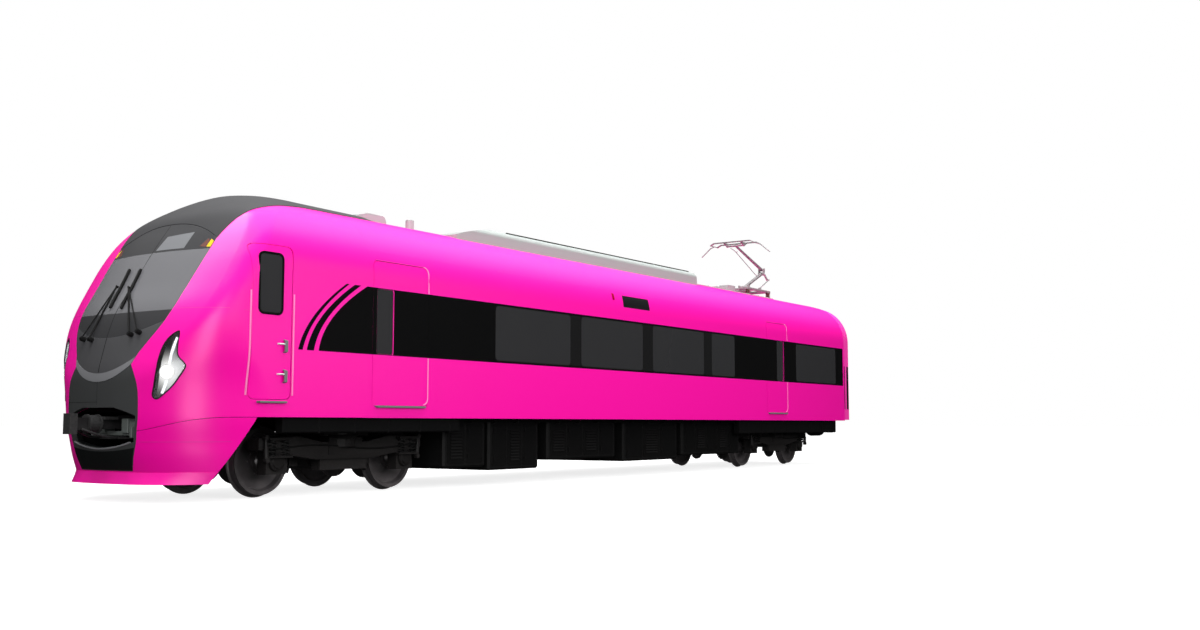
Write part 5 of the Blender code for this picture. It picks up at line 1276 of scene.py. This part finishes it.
# %% Air conditioner
AIR_X, AIR_HALF, AIR_CROWN, AIR_EDGE_Z = (6.09, 13.5), 0.95, 3.99, 3.86
air_side = [(AIR_HALF, 3.50), (AIR_HALF, AIR_EDGE_Z)]
air_side += [(AIR_HALF - 0.15 * (1 - math.cos(t)), AIR_EDGE_Z + 0.115 * math.sin(t))
             for t in np.linspace(0.1, math.pi / 2, 12)]
air_side += [(y, AIR_CROWN - 0.015 * (y / 0.8) ** 2) for y in np.linspace(0.76, 0.0, 9)]
air_line = air_side + [(-y, z) for y, z in air_side[-2::-1]]
front, rear = AIR_X[1], AIR_X[0]
front_curve = [(front - 1.30 * s, 3.78 + 0.21 * math.sin(math.pi / 2 * s) ** 0.9)
               for s in np.linspace(0, 1, 16)]
front_slope = front_curve + [(front - 1.30, 4.20), (front + 0.2, 4.20), (front + 0.2, 3.78)]
rear_curve = [(rear + 0.17 * (1 - math.cos(t)), 3.82 + 0.17 * math.sin(t))
              for t in np.linspace(0, math.pi / 2, 12)]
rear_slope = rear_curve + [(rear + 0.17, 4.20), (rear - 0.2, 4.20), (rear - 0.2, 3.82)]
end_cuts = [prism(line, "y", -1.2, 1.2) for line in (front_slope, rear_slope)]
make("air_cover", prism(air_line, "x", *AIR_X), "unit_grey", "light_grey_metal",
     stands_for=["air_conditioner"], cut=end_cuts)
fans, grilles = [], []
for x in (6.9, 7.8, 8.7, 10.6, 11.5):
    for y in (-0.36, 0.36):
        ring = [(3.97, 0.26), (4.001, 0.26), (4.005, 0.25), (4.005, 0.22), (3.985, 0.21), (3.97, 0.21),
                (3.97, 0.26)]
        fans.append(lathe(ring, "z", (x, y, 0.0), 32))
        fans.append(lathe([(3.97, 0.0), (3.97, 0.05), (4.0, 0.045), (4.0, 0.0)], "z", (x, y, 0.0), 16))
        for turn in range(6):
            angle = math.pi * turn / 6
            reach = Vector((math.cos(angle), math.sin(angle), 0)) * 0.22
            middle = Vector((x, y, 3.994))
            grilles.append(tube([middle - reach, middle + reach], 0.003, 6))
make("roof_fans", join(*fans, *grilles), "carbon_dark", "light_grey_metal")
strips = [ribbon([Vector((x, side * 0.864, 3.963)) for x in np.linspace(12.19, 6.30, 12)],
                 [Vector((0, 0.7 * side, 1))] * 12, 0.034, 0.014) for side in (1, -1)]
make("air_edge_strips", join(*strips), "rubber_black", "black_paint")
outwards = [Vector((0, y, 0.4 + 2 * (z - 3.86) / 0.13)).normalized() for y, z in air_line[1:-1]]
seams = [ribbon([Vector((x, y, z)) for y, z in air_line[1:-1]], outwards, 0.006, 0.0012, 0.003)
         for x in (7.3, 8.25, 9.2, 10.15, 11.05, 11.95)]
make("air_seams", join(*seams), "step_grey", "light_grey_metal")
air_bolts = [(x, y, 3.982) for x in np.arange(6.3, 12.1, 0.237) for y in (-0.70, 0.70)]
make("air_bolts", bolts(air_bolts, "z", 0.009, 0.006), "step_grey", "light_grey_metal")
print("air conditioner made")

# %% [markdown]
# ## Aerials and conduits
# A fin and a round stub stand on the roof in front of the air conditioner. Both are simple turned or pushed
# shapes with soft edges. Two conduits run from the air conditioner to the pantograph, each under a row of
# clips.

# %% Aerials and roof conduits
aerial = [(14.095, 3.70), (14.095, 3.955)]
aerial += [(14.095 + 0.105 * (1 - math.cos(t)), 3.955 + 0.098 * math.sin(t))
           for t in np.linspace(0.2, 1.57, 8)]
aerial += [(14.35, 4.056), (14.49, 4.055), (14.60, 4.030), (14.70, 4.000), (14.73, 3.985), (14.73, 3.70)]
make("aerial_fin", prism(aerial, "y", -0.05, 0.05), "unit_grey", "light_grey_metal",
     stands_for=["aerial_case"], bevel=0.012)
mast = [(3.86, 0.0), (3.86, 0.10), (3.879, 0.10), (3.89, 0.07), (3.90, 0.066), (4.066, 0.066),
        (4.0805, 0.055), (4.0805, 0.0)]
make("aerial_mast", lathe(mast, "z", (13.53, 0.0, 0.0)), "unit_grey", "light_grey_metal",
     stands_for=["aerial_stub"])
heads = [(13.53 + 0.085 * math.cos(a), 0.085 * math.sin(a), 3.876) for a in np.arange(6) * 1.047]
heads += [(x, y, 3.85) for x in (14.13, 14.70) for y in (-0.065, 0.065)]
make("aerial_bolts", bolts(heads, "z", 0.008, 0.010), "step_grey", "light_grey_metal")
conduits = [tube([(x, y, 3.862) for x in (5.95, 3.4, 1.4)], 0.012, 8) for y in (-0.38, 0.38)]
clips = [block((x - 0.015, x + 0.015), (y - 0.02, y + 0.02), (3.835, 3.877))
         for x in np.arange(1.6, 5.9, 0.6) for y in (-0.38, 0.38)]
make("roof_conduits", join(*conduits, *clips), "unit_grey", "light_grey_metal")
print("roof details made")

# %% [markdown]
# ## Pantograph
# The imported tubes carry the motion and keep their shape. Each gets the small parts of its own body: sheds
# on the insulators, carbon strips on the head, pivot bolts, and the thin rod beside the upper arm that
# holds the head level.

# %% Pantograph details
sheds = []
for x in (1.48, 2.52):
    for y in (-0.28, 0.28):
        profile = [(3.86, 0.0), (3.86, 0.04)]
        for k in range(5):
            z = 3.875 + 0.026 * k
            profile += [(z, 0.040), (z + 0.006, 0.060), (z + 0.010, 0.060), (z + 0.018, 0.040)]
        sheds.append(lathe(profile + [(4.002, 0.035), (4.002, 0.0)], "z", (x, y, 0.0), 20))
make("insulator_sheds", join(*sheds), "insulator_brown", "light_grey_metal")
carbon = [(-0.47, 5.1055), (0.47, 5.1055), (0.47, 5.095), (-0.47, 5.095)]
carbons = [prism(carbon, "x", x - 0.0265, x + 0.0265) for x in (2.41, 2.75)]
make("carbon_strips", join(*carbons), "carbon_dark", "light_grey_metal", "pantograph_head", bevel=0.0015)
rod = [(2.721, -0.05, 4.955), (2.56, -0.05, 4.93), (2.453, -0.05, 4.897), (1.458, -0.05, 4.468),
       (1.29, -0.05, 4.44)]
make("balance_rod", join(tube(rod, 0.008, 8), tube([(2.453, -0.06, 4.897), (2.453, 0.0, 4.90)], 0.007, 8)),
     "arm_brown", "light_grey_metal", "pantograph_upper")
pins = [tube([(2.15, -0.145, 4.09), (2.15, 0.145, 4.09)], 0.016, 12),
        tube([(1.586, 0.118, 4.101), (1.586, 0.162, 4.101)], 0.012, 12)]
make("pantograph_pins", join(*pins), "step_grey", "light_grey_metal")
make("knee_pin", tube([(1.235, -0.088, 4.506), (1.235, 0.088, 4.506)], 0.016, 12),
     "step_grey", "light_grey_metal", "pantograph_upper")
base_bolts = [(x, y, 4.049) for x in (1.43, 1.55, 1.9, 2.3, 2.55) for y in (-0.28, 0.28)]
make("base_bolts", bolts(base_bolts, "z", 0.010, 0.010), "step_grey", "light_grey_metal")
print("pantograph details made")

# %% [markdown]
# ## Wheels and bogies
# A wheelset is one turned body, so a lathe with the real tread, dished web and hub is the natural tool.
# Brake discs ride with it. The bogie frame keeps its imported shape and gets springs, dampers, brake units,
# axle-box covers and pipes.

# %% Wheelsets
TREAD, FLANGE = 0.43, 0.028
half_profile = [
    (0.30, 0.075), (0.30, 0.19), (0.305, 0.30), (0.335, 0.30), (0.34, 0.19), (0.345, 0.075), (0.62, 0.075),
    (0.635, 0.095), (0.645, 0.135), (0.665, 0.145), (0.69, 0.20), (0.705, 0.28), (0.70, 0.350),
    (0.685, 0.372), (0.680, 0.38), (0.680, TREAD + FLANGE - 0.012), (0.686, TREAD + FLANGE - 0.003),
    (0.693, TREAD + FLANGE), (0.700, TREAD + FLANGE - 0.004), (0.708, TREAD + 0.008), (0.718, TREAD),
    (0.80, TREAD - 0.003), (0.8145, TREAD - 0.008), (0.8145, 0.374), (0.790, 0.368), (0.752, 0.350),
    (0.742, 0.28), (0.745, 0.20), (0.755, 0.145), (0.80, 0.135), (0.805, 0.10), (0.84, 0.06),
    (1.099, 0.0595), (1.099, 0.0)]
PIVOTS, WHEELBASE = {"front": 15.885, "rear": 2.75}, 2.30
wheel_profile = [(-y, r) for y, r in reversed(half_profile)] + half_profile
for place, pivot in PIVOTS.items():
    for label, end in (("leading", 1), ("trailing", -1)):
        x, body = pivot + end * WHEELBASE / 2, f"wheelset_{place}_{label}"
        make(f"wheels_{place}_{label}", lathe(wheel_profile, "y", (x, 0.0, TREAD), 72),
             "wheel_iron", "wheel_steel", body, [body], smooth=28)
        rims, heads = [], []
        for side in (1, -1):
            ring = [(side * 0.7175, TREAD + 0.0004), (side * 0.80, TREAD - 0.0026),
                    (side * 0.80, TREAD - 0.02),
                    (side * 0.7175, TREAD - 0.02), (side * 0.7175, TREAD + 0.0004)]
            rims.append(lathe(ring, "y", (x, 0.0, TREAD), 72))
            heads.append(bolts([(x + 0.165 * math.cos(a), side * 0.752, TREAD + 0.165 * math.sin(a))
                                for a in np.arange(10) * 0.6283], "y", 0.012, side * 0.012))
        make(f"treads_{place}_{label}", join(*rims), "tread_steel", "wheel_steel", body)
        make(f"web_bolts_{place}_{label}", join(*heads), "wheel_iron", "wheel_steel", body)
print("wheelsets made")

# %% Bogie details
def coil(centre, radius, low, high, turns, wire):
    steps = int(turns * 14)
    path = [(centre[0] + radius * math.cos(2 * math.pi * turns * i / steps),
             centre[1] + radius * math.sin(2 * math.pi * turns * i / steps), low + (high - low) * i / steps)
            for i in range(steps + 1)]
    return tube(path, wire, 6)


def damper(start, end, radius):
    a, b = Vector(start), Vector(end)
    middle = a.lerp(b, 0.55)
    eyes = [tube([p - Vector((0, 0.03, 0)), p + Vector((0, 0.03, 0))], radius * 1.1, 14) for p in (a, b)]
    return join(tube([a, middle], radius, 14), tube([middle, b], radius * 0.6, 12), *eyes)


for place, pivot in PIVOTS.items():
    body = f"bogie_{place}"
    springs, covers, covers_bolts, dampers, brakes, pipes = [], [], [], [], [], []
    for side in (1, -1):
        for end in (1, -1):
            x = pivot + end * WHEELBASE / 2
            for shift in (-0.105, 0.105):
                springs.append(coil((x + shift, side * 1.14), 0.045, 0.50, 0.70, 4.5, 0.010))
            profile = [(side * 1.08, 0.0), (side * 1.08, 0.125), (side * 1.115, 0.12), (side * 1.125, 0.09),
                       (side * 1.135, 0.085), (side * 1.14, 0.0)]
            covers.append(lathe(profile, "y", (x, 0.0, TREAD), 28))
            covers_bolts.append(bolts([(x + 0.105 * math.cos(a), side * 1.117, TREAD + 0.105 * math.sin(a))
                                       for a in np.arange(8) * 0.7854 + 0.39], "y", 0.010, side * 0.010))
            covers.append(block((x - 0.19, x + 0.19), span(side, 1.09, 1.19), (0.695, 0.725)))
            covers.append(block((x - 0.19, x + 0.19), span(side, 1.09, 1.18), (0.475, 0.50)))
            foot, head = (x + end * 0.20, side * 1.14, 0.45), (x + end * 0.22, side * 1.14, 0.73)
            dampers.append(damper(foot, head, 0.030))
            inner = x - end * 0.50
            hanger = [(inner - 0.07, 0.35), (inner + 0.07, 0.35),
                      (inner + 0.05, 0.55), (inner - 0.05, 0.55)]
            brakes.append(prism(hanger, "y", *span(side, 0.70, 0.84)))
            shoe = [(x - end * (TREAD + 0.012) * math.cos(t), TREAD + (TREAD + 0.012) * math.sin(t))
                    for t in np.linspace(-0.35, 0.35, 8)]
            shoe += [(x - end * (TREAD + 0.055) * math.cos(t), TREAD + (TREAD + 0.055) * math.sin(t))
                     for t in np.linspace(0.35, -0.35, 8)]
            brakes.append(prism(shoe, "y", *span(side, 0.72, 0.80)))
        dampers.append(damper((pivot - 0.30, side * 1.16, 0.78), (pivot + 0.42, side * 1.16, 0.78), 0.035))
        wavy = [(pivot + s, side * 1.125, 0.60 + 0.03 * math.sin(3 * s))
                for s in np.linspace(-1.3, 1.3, 24)]
        pipes.append(tube(wavy, 0.012, 8))
        pipes.append(tube([(pivot + s, side * 0.885, 0.735) for s in (-1.2, -0.4, 0.4, 1.2)], 0.010, 8))
        for k in range(5):
            z = 0.735 + 0.032 * k
            fold = [(z, 0.0), (z, 0.235), (z + 0.012, 0.262), (z + 0.024, 0.235), (z + 0.024, 0.0)]
            springs.append(lathe(fold, "z", (pivot, side * 1.0, 0.0), 32))
    make(f"bogie_springs_{place}", join(*springs), "rubber_black", "underfloor_paint", body)
    make(f"bogie_boxes_{place}", join(*covers, *covers_bolts), "bogie_black", "underfloor_paint",
         body, bevel=0.003)
    make(f"bogie_dampers_{place}", join(*dampers), "bogie_black", "underfloor_paint", body)
    make(f"bogie_brakes_{place}", join(*brakes), "bogie_black", "underfloor_paint", body, bevel=0.003)
    make(f"bogie_pipes_{place}", join(*pipes), "rubber_black", "underfloor_paint", body)
print("bogie details made")

# %% [markdown]
# ## Under the floor
# The cases stay as packed. Doors with latches and hinges, cooling slots, bolts along the flanges and a run
# of cables above them are what one sees of such equipment from the platform. Over the bogies, cable trunks
# and air tanks fill the dark strip below the side.

# %% Underfloor cases
FLOOR_UNDER, BATTEN_X = 0.976, 0.02
CASES = {"brake": ((13.177, 14.12), 0.26, 2), "battery": ((11.85, 13.10), 0.20, 3),
         "converter": ((9.62, 11.61), 0.32, 4),
         "compressor": ((7.48, 9.36), 0.24, 3), "inverter": ((4.95, 7.30), 0.30, 5)}
for name, ((a, b), low, count) in CASES.items():
    doors, slots, marks = [], [], []
    width = (b - a - 0.12) / count
    for side in (1, -1):
        for k in range(count):
            start = a + 0.06 + k * width
            face = span(side, 1.275, 1.288)
            end = start + width
            outline = rounded((start + 0.02, end - 0.02), (low + 0.06, 0.90), 0.03, 4)
            doors.append(prism(outline, "y", *face))
            if k % 2:
                for z in np.arange(low + 0.14, 0.80, 0.045):
                    louvre = [(side * 1.286, z), (side * 1.304, z - 0.004), (side * 1.286, z + 0.026)]
                    slots.append(prism(louvre, "x", start + 0.08, end - 0.08))
            else:
                for z in (low + 0.16, 0.80):
                    latch_x, latch_z = (end - 0.075, end - 0.045), (z - 0.035, z + 0.035)
                    marks.append(block(latch_x, span(side, 1.286, 1.302), latch_z))
            for z in (low + 0.14, 0.82):
                hinge = [(start + 0.03, side * 1.290, z + reach) for reach in (-0.03, 0.03)]
                marks.append(tube(hinge, 0.009, 8))
        heads = [(x, side * 1.278, 0.945) for x in np.arange(a + 0.06, b - 0.03, 0.14)]
        marks.append(bolts(heads, "y", 0.010, side * 0.010))
    make(f"{name}_doors", join(*doors, *slots, *marks), "underfloor_black", "underfloor_paint",
         bevel=0.0015)
cable_runs = []
for side in (1, -1):
    for k in range(3):
        cable_runs.append(tube([(x, side * (1.36 - 0.035 * k), 0.958 - 0.012 * k)
                                for x in (14.15, 9.0, 4.6)], 0.013, 8))
    for x in np.arange(4.8, 14.0, 0.55):
        cable_runs.append(block((x - 0.012, x + 0.012), span(side, 1.27, 1.378), (0.915, FLOOR_UNDER)))
make("cable_runs", join(*cable_runs), "underfloor_black", "underfloor_paint")
trunks = []
for side in (1, -1):
    for a, b, low in ((14.00, 17.28, 0.785), (0.35, 5.30, 0.70)):
        half = [(1.34, FLOOR_UNDER), (1.34, low + 0.015), (1.36, low),
                (1.45, low), (1.47, low + 0.015), (1.47, FLOOR_UNDER)]
        trunks.append(prism([(side * y, z) for y, z in half], "x", a, b))
        trunks += [block((x, x + BATTEN_X), span(side, 1.335, 1.476), (low - 0.005, FLOOR_UNDER))
                   for x in np.arange(a + 0.2, b, 0.62)]
make("floor_trunks", join(*trunks), "underfloor_black", "underfloor_paint", bevel=0.003)
tanks = []
for side in (1, -1):
    for x, z, stretch in ((0.72, 0.78, 1.0), (4.68, 0.76, 0.62)):
        dome = [(-0.30, 0.0), (-0.29, 0.07), (-0.26, 0.13), (-0.21, 0.16)]
        dome = dome + [(-place, radius) for place, radius in reversed(dome)]
        dome = [(place * stretch, radius) for place, radius in dome]
        tanks.append(lathe(dome, "x", (x, side * 1.10, z), 28))
        for strap_x in (x - 0.10, x + 0.10):
            tanks.append(block((strap_x - 0.015, strap_x + 0.015), span(side, 0.935, 1.265),
                               (z - 0.02, FLOOR_UNDER)))
make("air_tanks", join(*tanks), "underfloor_black", "underfloor_paint")
print("underfloor made")

# %% [markdown]
# ## Coupler
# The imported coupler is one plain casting. Its face gets the cone's seat and bolts, the drum gets two
# flanges, and two hoses sag beside it. A dark carrier stands behind it in the mouth. All of it is bolted
# together and stays with the car, so it is rigid.

# %% Coupler details
MIDDLE, HEAD_FRONT = 0.90, 19.1995
face = [block((19.193, HEAD_FRONT), (-0.055, 0.055), (0.80, 1.0))]
face.append(lathe([(19.18, 0.0), (19.18, 0.036), (HEAD_FRONT, 0.030), (HEAD_FRONT, 0.0)], "x",
                  (0.0, -0.025, MIDDLE), 20))
face += [bolts([(19.19, y, z) for y in (-0.045, 0.045) for z in (0.80, 0.90, 1.0)], "x", 0.008, 0.0095)]
make("coupler_face", join(*face), "coupler_iron", "underfloor_paint", bevel=0.002)
rings = []
for x in (18.80, 18.935):
    ring = [(x, 0.095), (x, 0.112), (x + 0.022, 0.112), (x + 0.022, 0.095), (x, 0.095)]
    rings.append(lathe(ring, "x", (0, 0, MIDDLE), 32))
heads = [(18.798, 0.104 * math.cos(a), MIDDLE + 0.104 * math.sin(a)) for a in np.arange(8) * 0.785]
rings.append(bolts(heads, "x", 0.007, -0.008))
hoses = [tube([(19.05 - 0.75 * t, side * (0.075 + 0.09 * math.sin(math.pi * t)),
                0.84 - 0.10 * math.sin(math.pi * t))
               for t in np.linspace(0, 1, 20)], 0.014, 10) for side in (1, -1)]
bars = [block((18.62, 18.80), span(s, 0.075, 0.14), (0.95, 0.985)) for s in (1, -1)]
make("coupler_fittings", join(*rings, *hoses, *bars), "coupler_iron", "underfloor_paint")
carrier = [block((18.46, 18.56), (-0.44, 0.44), (0.76, 0.815))]
for side in (1, -1):
    carrier += [block((18.45, 18.60), span(side, 0.17, 0.29), (0.79, 0.96)),
                block((18.45, 18.57), span(side, 0.285, 0.43), (0.80, 0.93)),
                block((18.48, 18.62), span(side, 0.36, 0.40), (0.735, 0.87))]
make("coupler_carrier", join(*carrier), "grip_grey", "underfloor_paint", bevel=0.006)
print("coupler details made")

# %% [markdown]
# ## Seats
# Behind the tinted glass the seats show only as shapes, so each is a set of soft blocks: a crowned cushion,
# a leaning back and a headrest. A block is a cube's grid pushed out to a rounded form, which keeps its
# faces even, and its back is leaned by a shear.

# %% Seats
def pad(x, y, z, lean=0.0, power=5.0, cells=4):
    """A crowned block. Its upper end leans by a distance along x."""
    low, high = np.array([x[0], y[0], z[0]]), np.array([x[1], y[1], z[1]])
    points, faces, index = [], [], {}
    for axis in range(3):
        for end in (-1.0, 1.0):
            grid = []
            for i in range(cells + 1):
                for j in range(cells + 1):
                    corner = np.insert(np.array([2 * i / cells - 1, 2 * j / cells - 1]), axis, end)
                    key = tuple(np.round(corner, 4))
                    if key not in index:
                        index[key] = len(points)
                        place = corner / np.sum(np.abs(corner) ** power) ** (1 / power)
                        place = (low + high) / 2 + place * (high - low) / 2
                        place[0] += lean * (place[2] - low[2]) / (high[2] - low[2])
                        points.append(tuple(place))
                    grid.append(index[key])
            for i in range(cells):
                for j in range(cells):
                    a = i * (cells + 1) + j
                    faces.append([grid[a], grid[a + 1], grid[a + cells + 2], grid[a + cells + 1]])
    return points, faces


ROWS, PITCH, FLOOR_Z = 9, 0.95, 1.13
for side, hand in HANDS:
    cushions, frames = [], [block((4.90, 14.20), span(side, 0.80, 1.00), (FLOOR_Z + 0.001, FLOOR_Z + 0.10))]
    for row in range(ROWS):
        x = 13.95 - row * PITCH
        for near, far in ((0.43, 0.885), (0.915, 1.37)):
            across = span(side, near, far)
            cushions.append(pad((x - 0.50, x), across, (1.44, 1.565)))
            cushions.append(pad((x - 0.53, x - 0.42), across, (1.50, 2.12), -0.085))
            cushions.append(pad((x - 0.625, x - 0.535), span(side, near + 0.06, far - 0.06), (2.10, 2.30)))
        frames.append(block((x - 0.24, x - 0.14), span(side, 0.82, 0.98), (FLOOR_Z + 0.09, 1.46)))
        frames.append(block((x - 0.50, x - 0.02), span(side, 0.46, 1.34), (1.41, 1.455)))
    pads = make(f"seat_pads_{hand}", join(*cushions), "seat_cloth", "seat_fabric",
                stands_for=[f"seats_{hand}"])
    make(f"seat_frames_{hand}", join(*frames), "seat_shell", "lining", bevel=0.004)
driver = [pad((17.06, 17.56), (0.19, 0.67), (1.505, 1.625)),
          pad((17.02, 17.13), (0.21, 0.65), (1.58, 2.26), -0.06),
          pad((16.965, 17.06), (0.29, 0.57), (2.25, 2.45))]
make("driver_pads", join(*driver), "seat_cloth", "seat_fabric", stands_for=["driver_seat"])
make("driver_post", join(block((17.22, 17.38), (0.33, 0.53), (1.16, 1.51)),
                         block((17.12, 17.50), (0.24, 0.62), (1.48, 1.515))),
     "seat_shell", "lining", bevel=0.004)
print("seats made")

# %% [markdown]
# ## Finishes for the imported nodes
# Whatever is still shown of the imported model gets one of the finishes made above, by assigning it to the
# node's material slots.

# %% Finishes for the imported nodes
NODE_FINISH = {
    "underfloor_black": ["underframe", "rear_drawbar", "brake_case", "battery_case", "converter_case",
                         "compressor_case", "inverter_case", "coupler_pocket"],
    "bogie_black": ["bogie_frame_front", "bogie_frame_rear"],
    "coupler_iron": ["coupler"],
    "pink_gloss": ["rear_end_wall"],
    "lining_grey": ["cab_bulkhead"],
    "desk_dark": ["driver_desk"],
    "unit_grey": ["roof_case_front", "roof_case_rear"],
    "arm_brown": ["pantograph_base", "pantograph_lower_arm", "pantograph_upper_arm", "pantograph_head",
                  "pantograph_coupling_rod"],
    "band_black": ["window_band_left", "window_band_right", "rear_window_left", "rear_window_right"],
}
for finish_name, names in NODE_FINISH.items():
    for name in names:
        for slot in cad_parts[name].material_slots:
            slot.material = FINISH[finish_name]
print("nodes given a finish", sum(len(names) for names in NODE_FINISH.values()))

# %% [markdown]
# ## Floor, light and camera
# A pale floor and a white surround. What the paint reflects is kept apart from what lights it: the surround
# is white for the camera, dark near the horizon for gloss, and brighter overhead, so that dark glass stays
# dark while the shoulder and the pillar shine. Two soft lights are seen by gloss only and draw the
# highlights; the one for the pillar is linked to the painted skins alone, or the windscreen would mirror
# it.

# %% Floor and surround
floor_mesh = bpy.data.meshes.new("studio_floor")
SIZE = 400.0
corners = [(-SIZE, -SIZE, 0), (SIZE, -SIZE, 0), (SIZE, SIZE, 0), (-SIZE, SIZE, 0)]
floor_mesh.from_pydata(corners, [], [[0, 1, 2, 3]])
floor = bpy.data.objects.new("studio_floor", floor_mesh)
bpy.context.scene.collection.objects.link(floor)
floor_material = bpy.data.materials.new("floor_white")
floor_material.use_nodes = True
paper = floor_material.node_tree.nodes["Principled BSDF"]
paper.inputs["Base Color"].default_value = (0.55, 0.55, 0.55, 1.0)
paper.inputs["Roughness"].default_value = 1.0
paper.inputs["Specular IOR Level"].default_value = 0.0
paper.inputs["Emission Color"].default_value = (1.0, 1.0, 1.0, 1.0)
paper.inputs["Emission Strength"].default_value = 0.80
floor_mesh.materials.append(floor_material)
floor.visible_diffuse = floor.visible_glossy = floor.visible_shadow = False

world = bpy.data.worlds.new("studio")
bpy.context.scene.world = world
world.use_nodes = True
sky = world.node_tree
height = sky.nodes.new("ShaderNodeSeparateXYZ")
sky.links.new(sky.nodes.new("ShaderNodeTexCoord").outputs["Generated"], height.inputs[0])


def by_height(low, high, dark, bright):
    """A brightness that rises between two heights of the surround."""
    node = sky.nodes.new("ShaderNodeMapRange")
    node.interpolation_type = "SMOOTHSTEP"
    for label, value in (("From Min", low), ("From Max", high), ("To Min", dark), ("To Max", bright)):
        node.inputs[label].default_value = value
    sky.links.new(height.outputs["Z"], node.inputs["Value"])
    return node.outputs["Result"]


rays = sky.nodes.new("ShaderNodeLightPath")
soft = by_height(-0.15, 0.10, 0.10, 0.55)
for ray, brightness in (("Is Glossy Ray", by_height(0.25, 0.85, 0.015, 1.2)), ("Is Camera Ray", 1.0)):
    choose = sky.nodes.new("ShaderNodeMix")
    sky.links.new(rays.outputs[ray], choose.inputs[0])
    sky.links.new(soft, choose.inputs[2])
    if isinstance(brightness, float):
        choose.inputs[3].default_value = brightness
    else:
        sky.links.new(brightness, choose.inputs[3])
    soft = choose.outputs[0]
sky.links.new(soft, sky.nodes["Background"].inputs["Color"])
print("surround made")


# %% Lights
def softbox(name, place, target, size, power, in_gloss, in_diffuse):
    data = bpy.data.lights.new(name, "AREA")
    data.shape, data.size, data.size_y, data.energy = "RECTANGLE", size[0], size[1], power
    obj = bpy.data.objects.new(name, data)
    bpy.context.scene.collection.objects.link(obj)
    obj.location = place
    obj.rotation_mode = "QUATERNION"
    obj.rotation_quaternion = (Vector(target) - Vector(place)).to_track_quat("-Z", "Y")
    obj.visible_glossy, obj.visible_diffuse, obj.visible_camera = in_gloss, in_diffuse, False
    return obj


softbox("overhead", (0.0, 1.0, 11.0), (0.0, 0.5, 0.0), (30.0, 6.0), 3800.0, False, True)
softbox("side_fill", (2.0, 16.0, 5.0), (1.0, 0.0, 1.5), (26.0, 6.0), 2000.0, False, True)
softbox("nose_fill", (18.0, 7.0, 5.0), (8.8, 0.8, 1.8), (3.0, 4.0), 420.0, False, True)
pillar_gloss = softbox("pillar_gloss", (10.0, -4.7, 11.2), (8.3, 1.1, 3.2), (8.0, 6.0), 850.0, True, False)
shining = bpy.data.collections.new("shining_pillar")
for name in ("cab_skin", "cab_leaf_left", "cab_leaf_right", "roof_skin"):
    shining.objects.link(bpy.data.objects[name])
pillar_gloss.light_linking.receiver_collection = shining
softbox("corner_gloss", (18.4, 11.2, 2.5), (8.9, 1.2, 1.4), (5.0, 13.0), 1300.0, True, False)
print("lights made")

# %% Camera and last measure
YAW, TILT = math.radians(34.04), math.radians(5.19)
camera_data = bpy.data.cameras.new("camera")
camera_data.lens, camera_data.sensor_width = 36.0, 36.0
camera = bpy.data.objects.new("camera", camera_data)
bpy.context.scene.collection.objects.link(camera)
camera.location = (17.821, 12.881, 0.925)
look = Vector((-math.cos(YAW) * math.cos(TILT), -math.sin(YAW) * math.cos(TILT), math.sin(TILT)))
camera.rotation_mode = "QUATERNION"
camera.rotation_quaternion = look.to_track_quat("-Z", "Y")
bpy.context.scene.camera = camera
bpy.context.scene.view_settings.view_transform = "Standard"
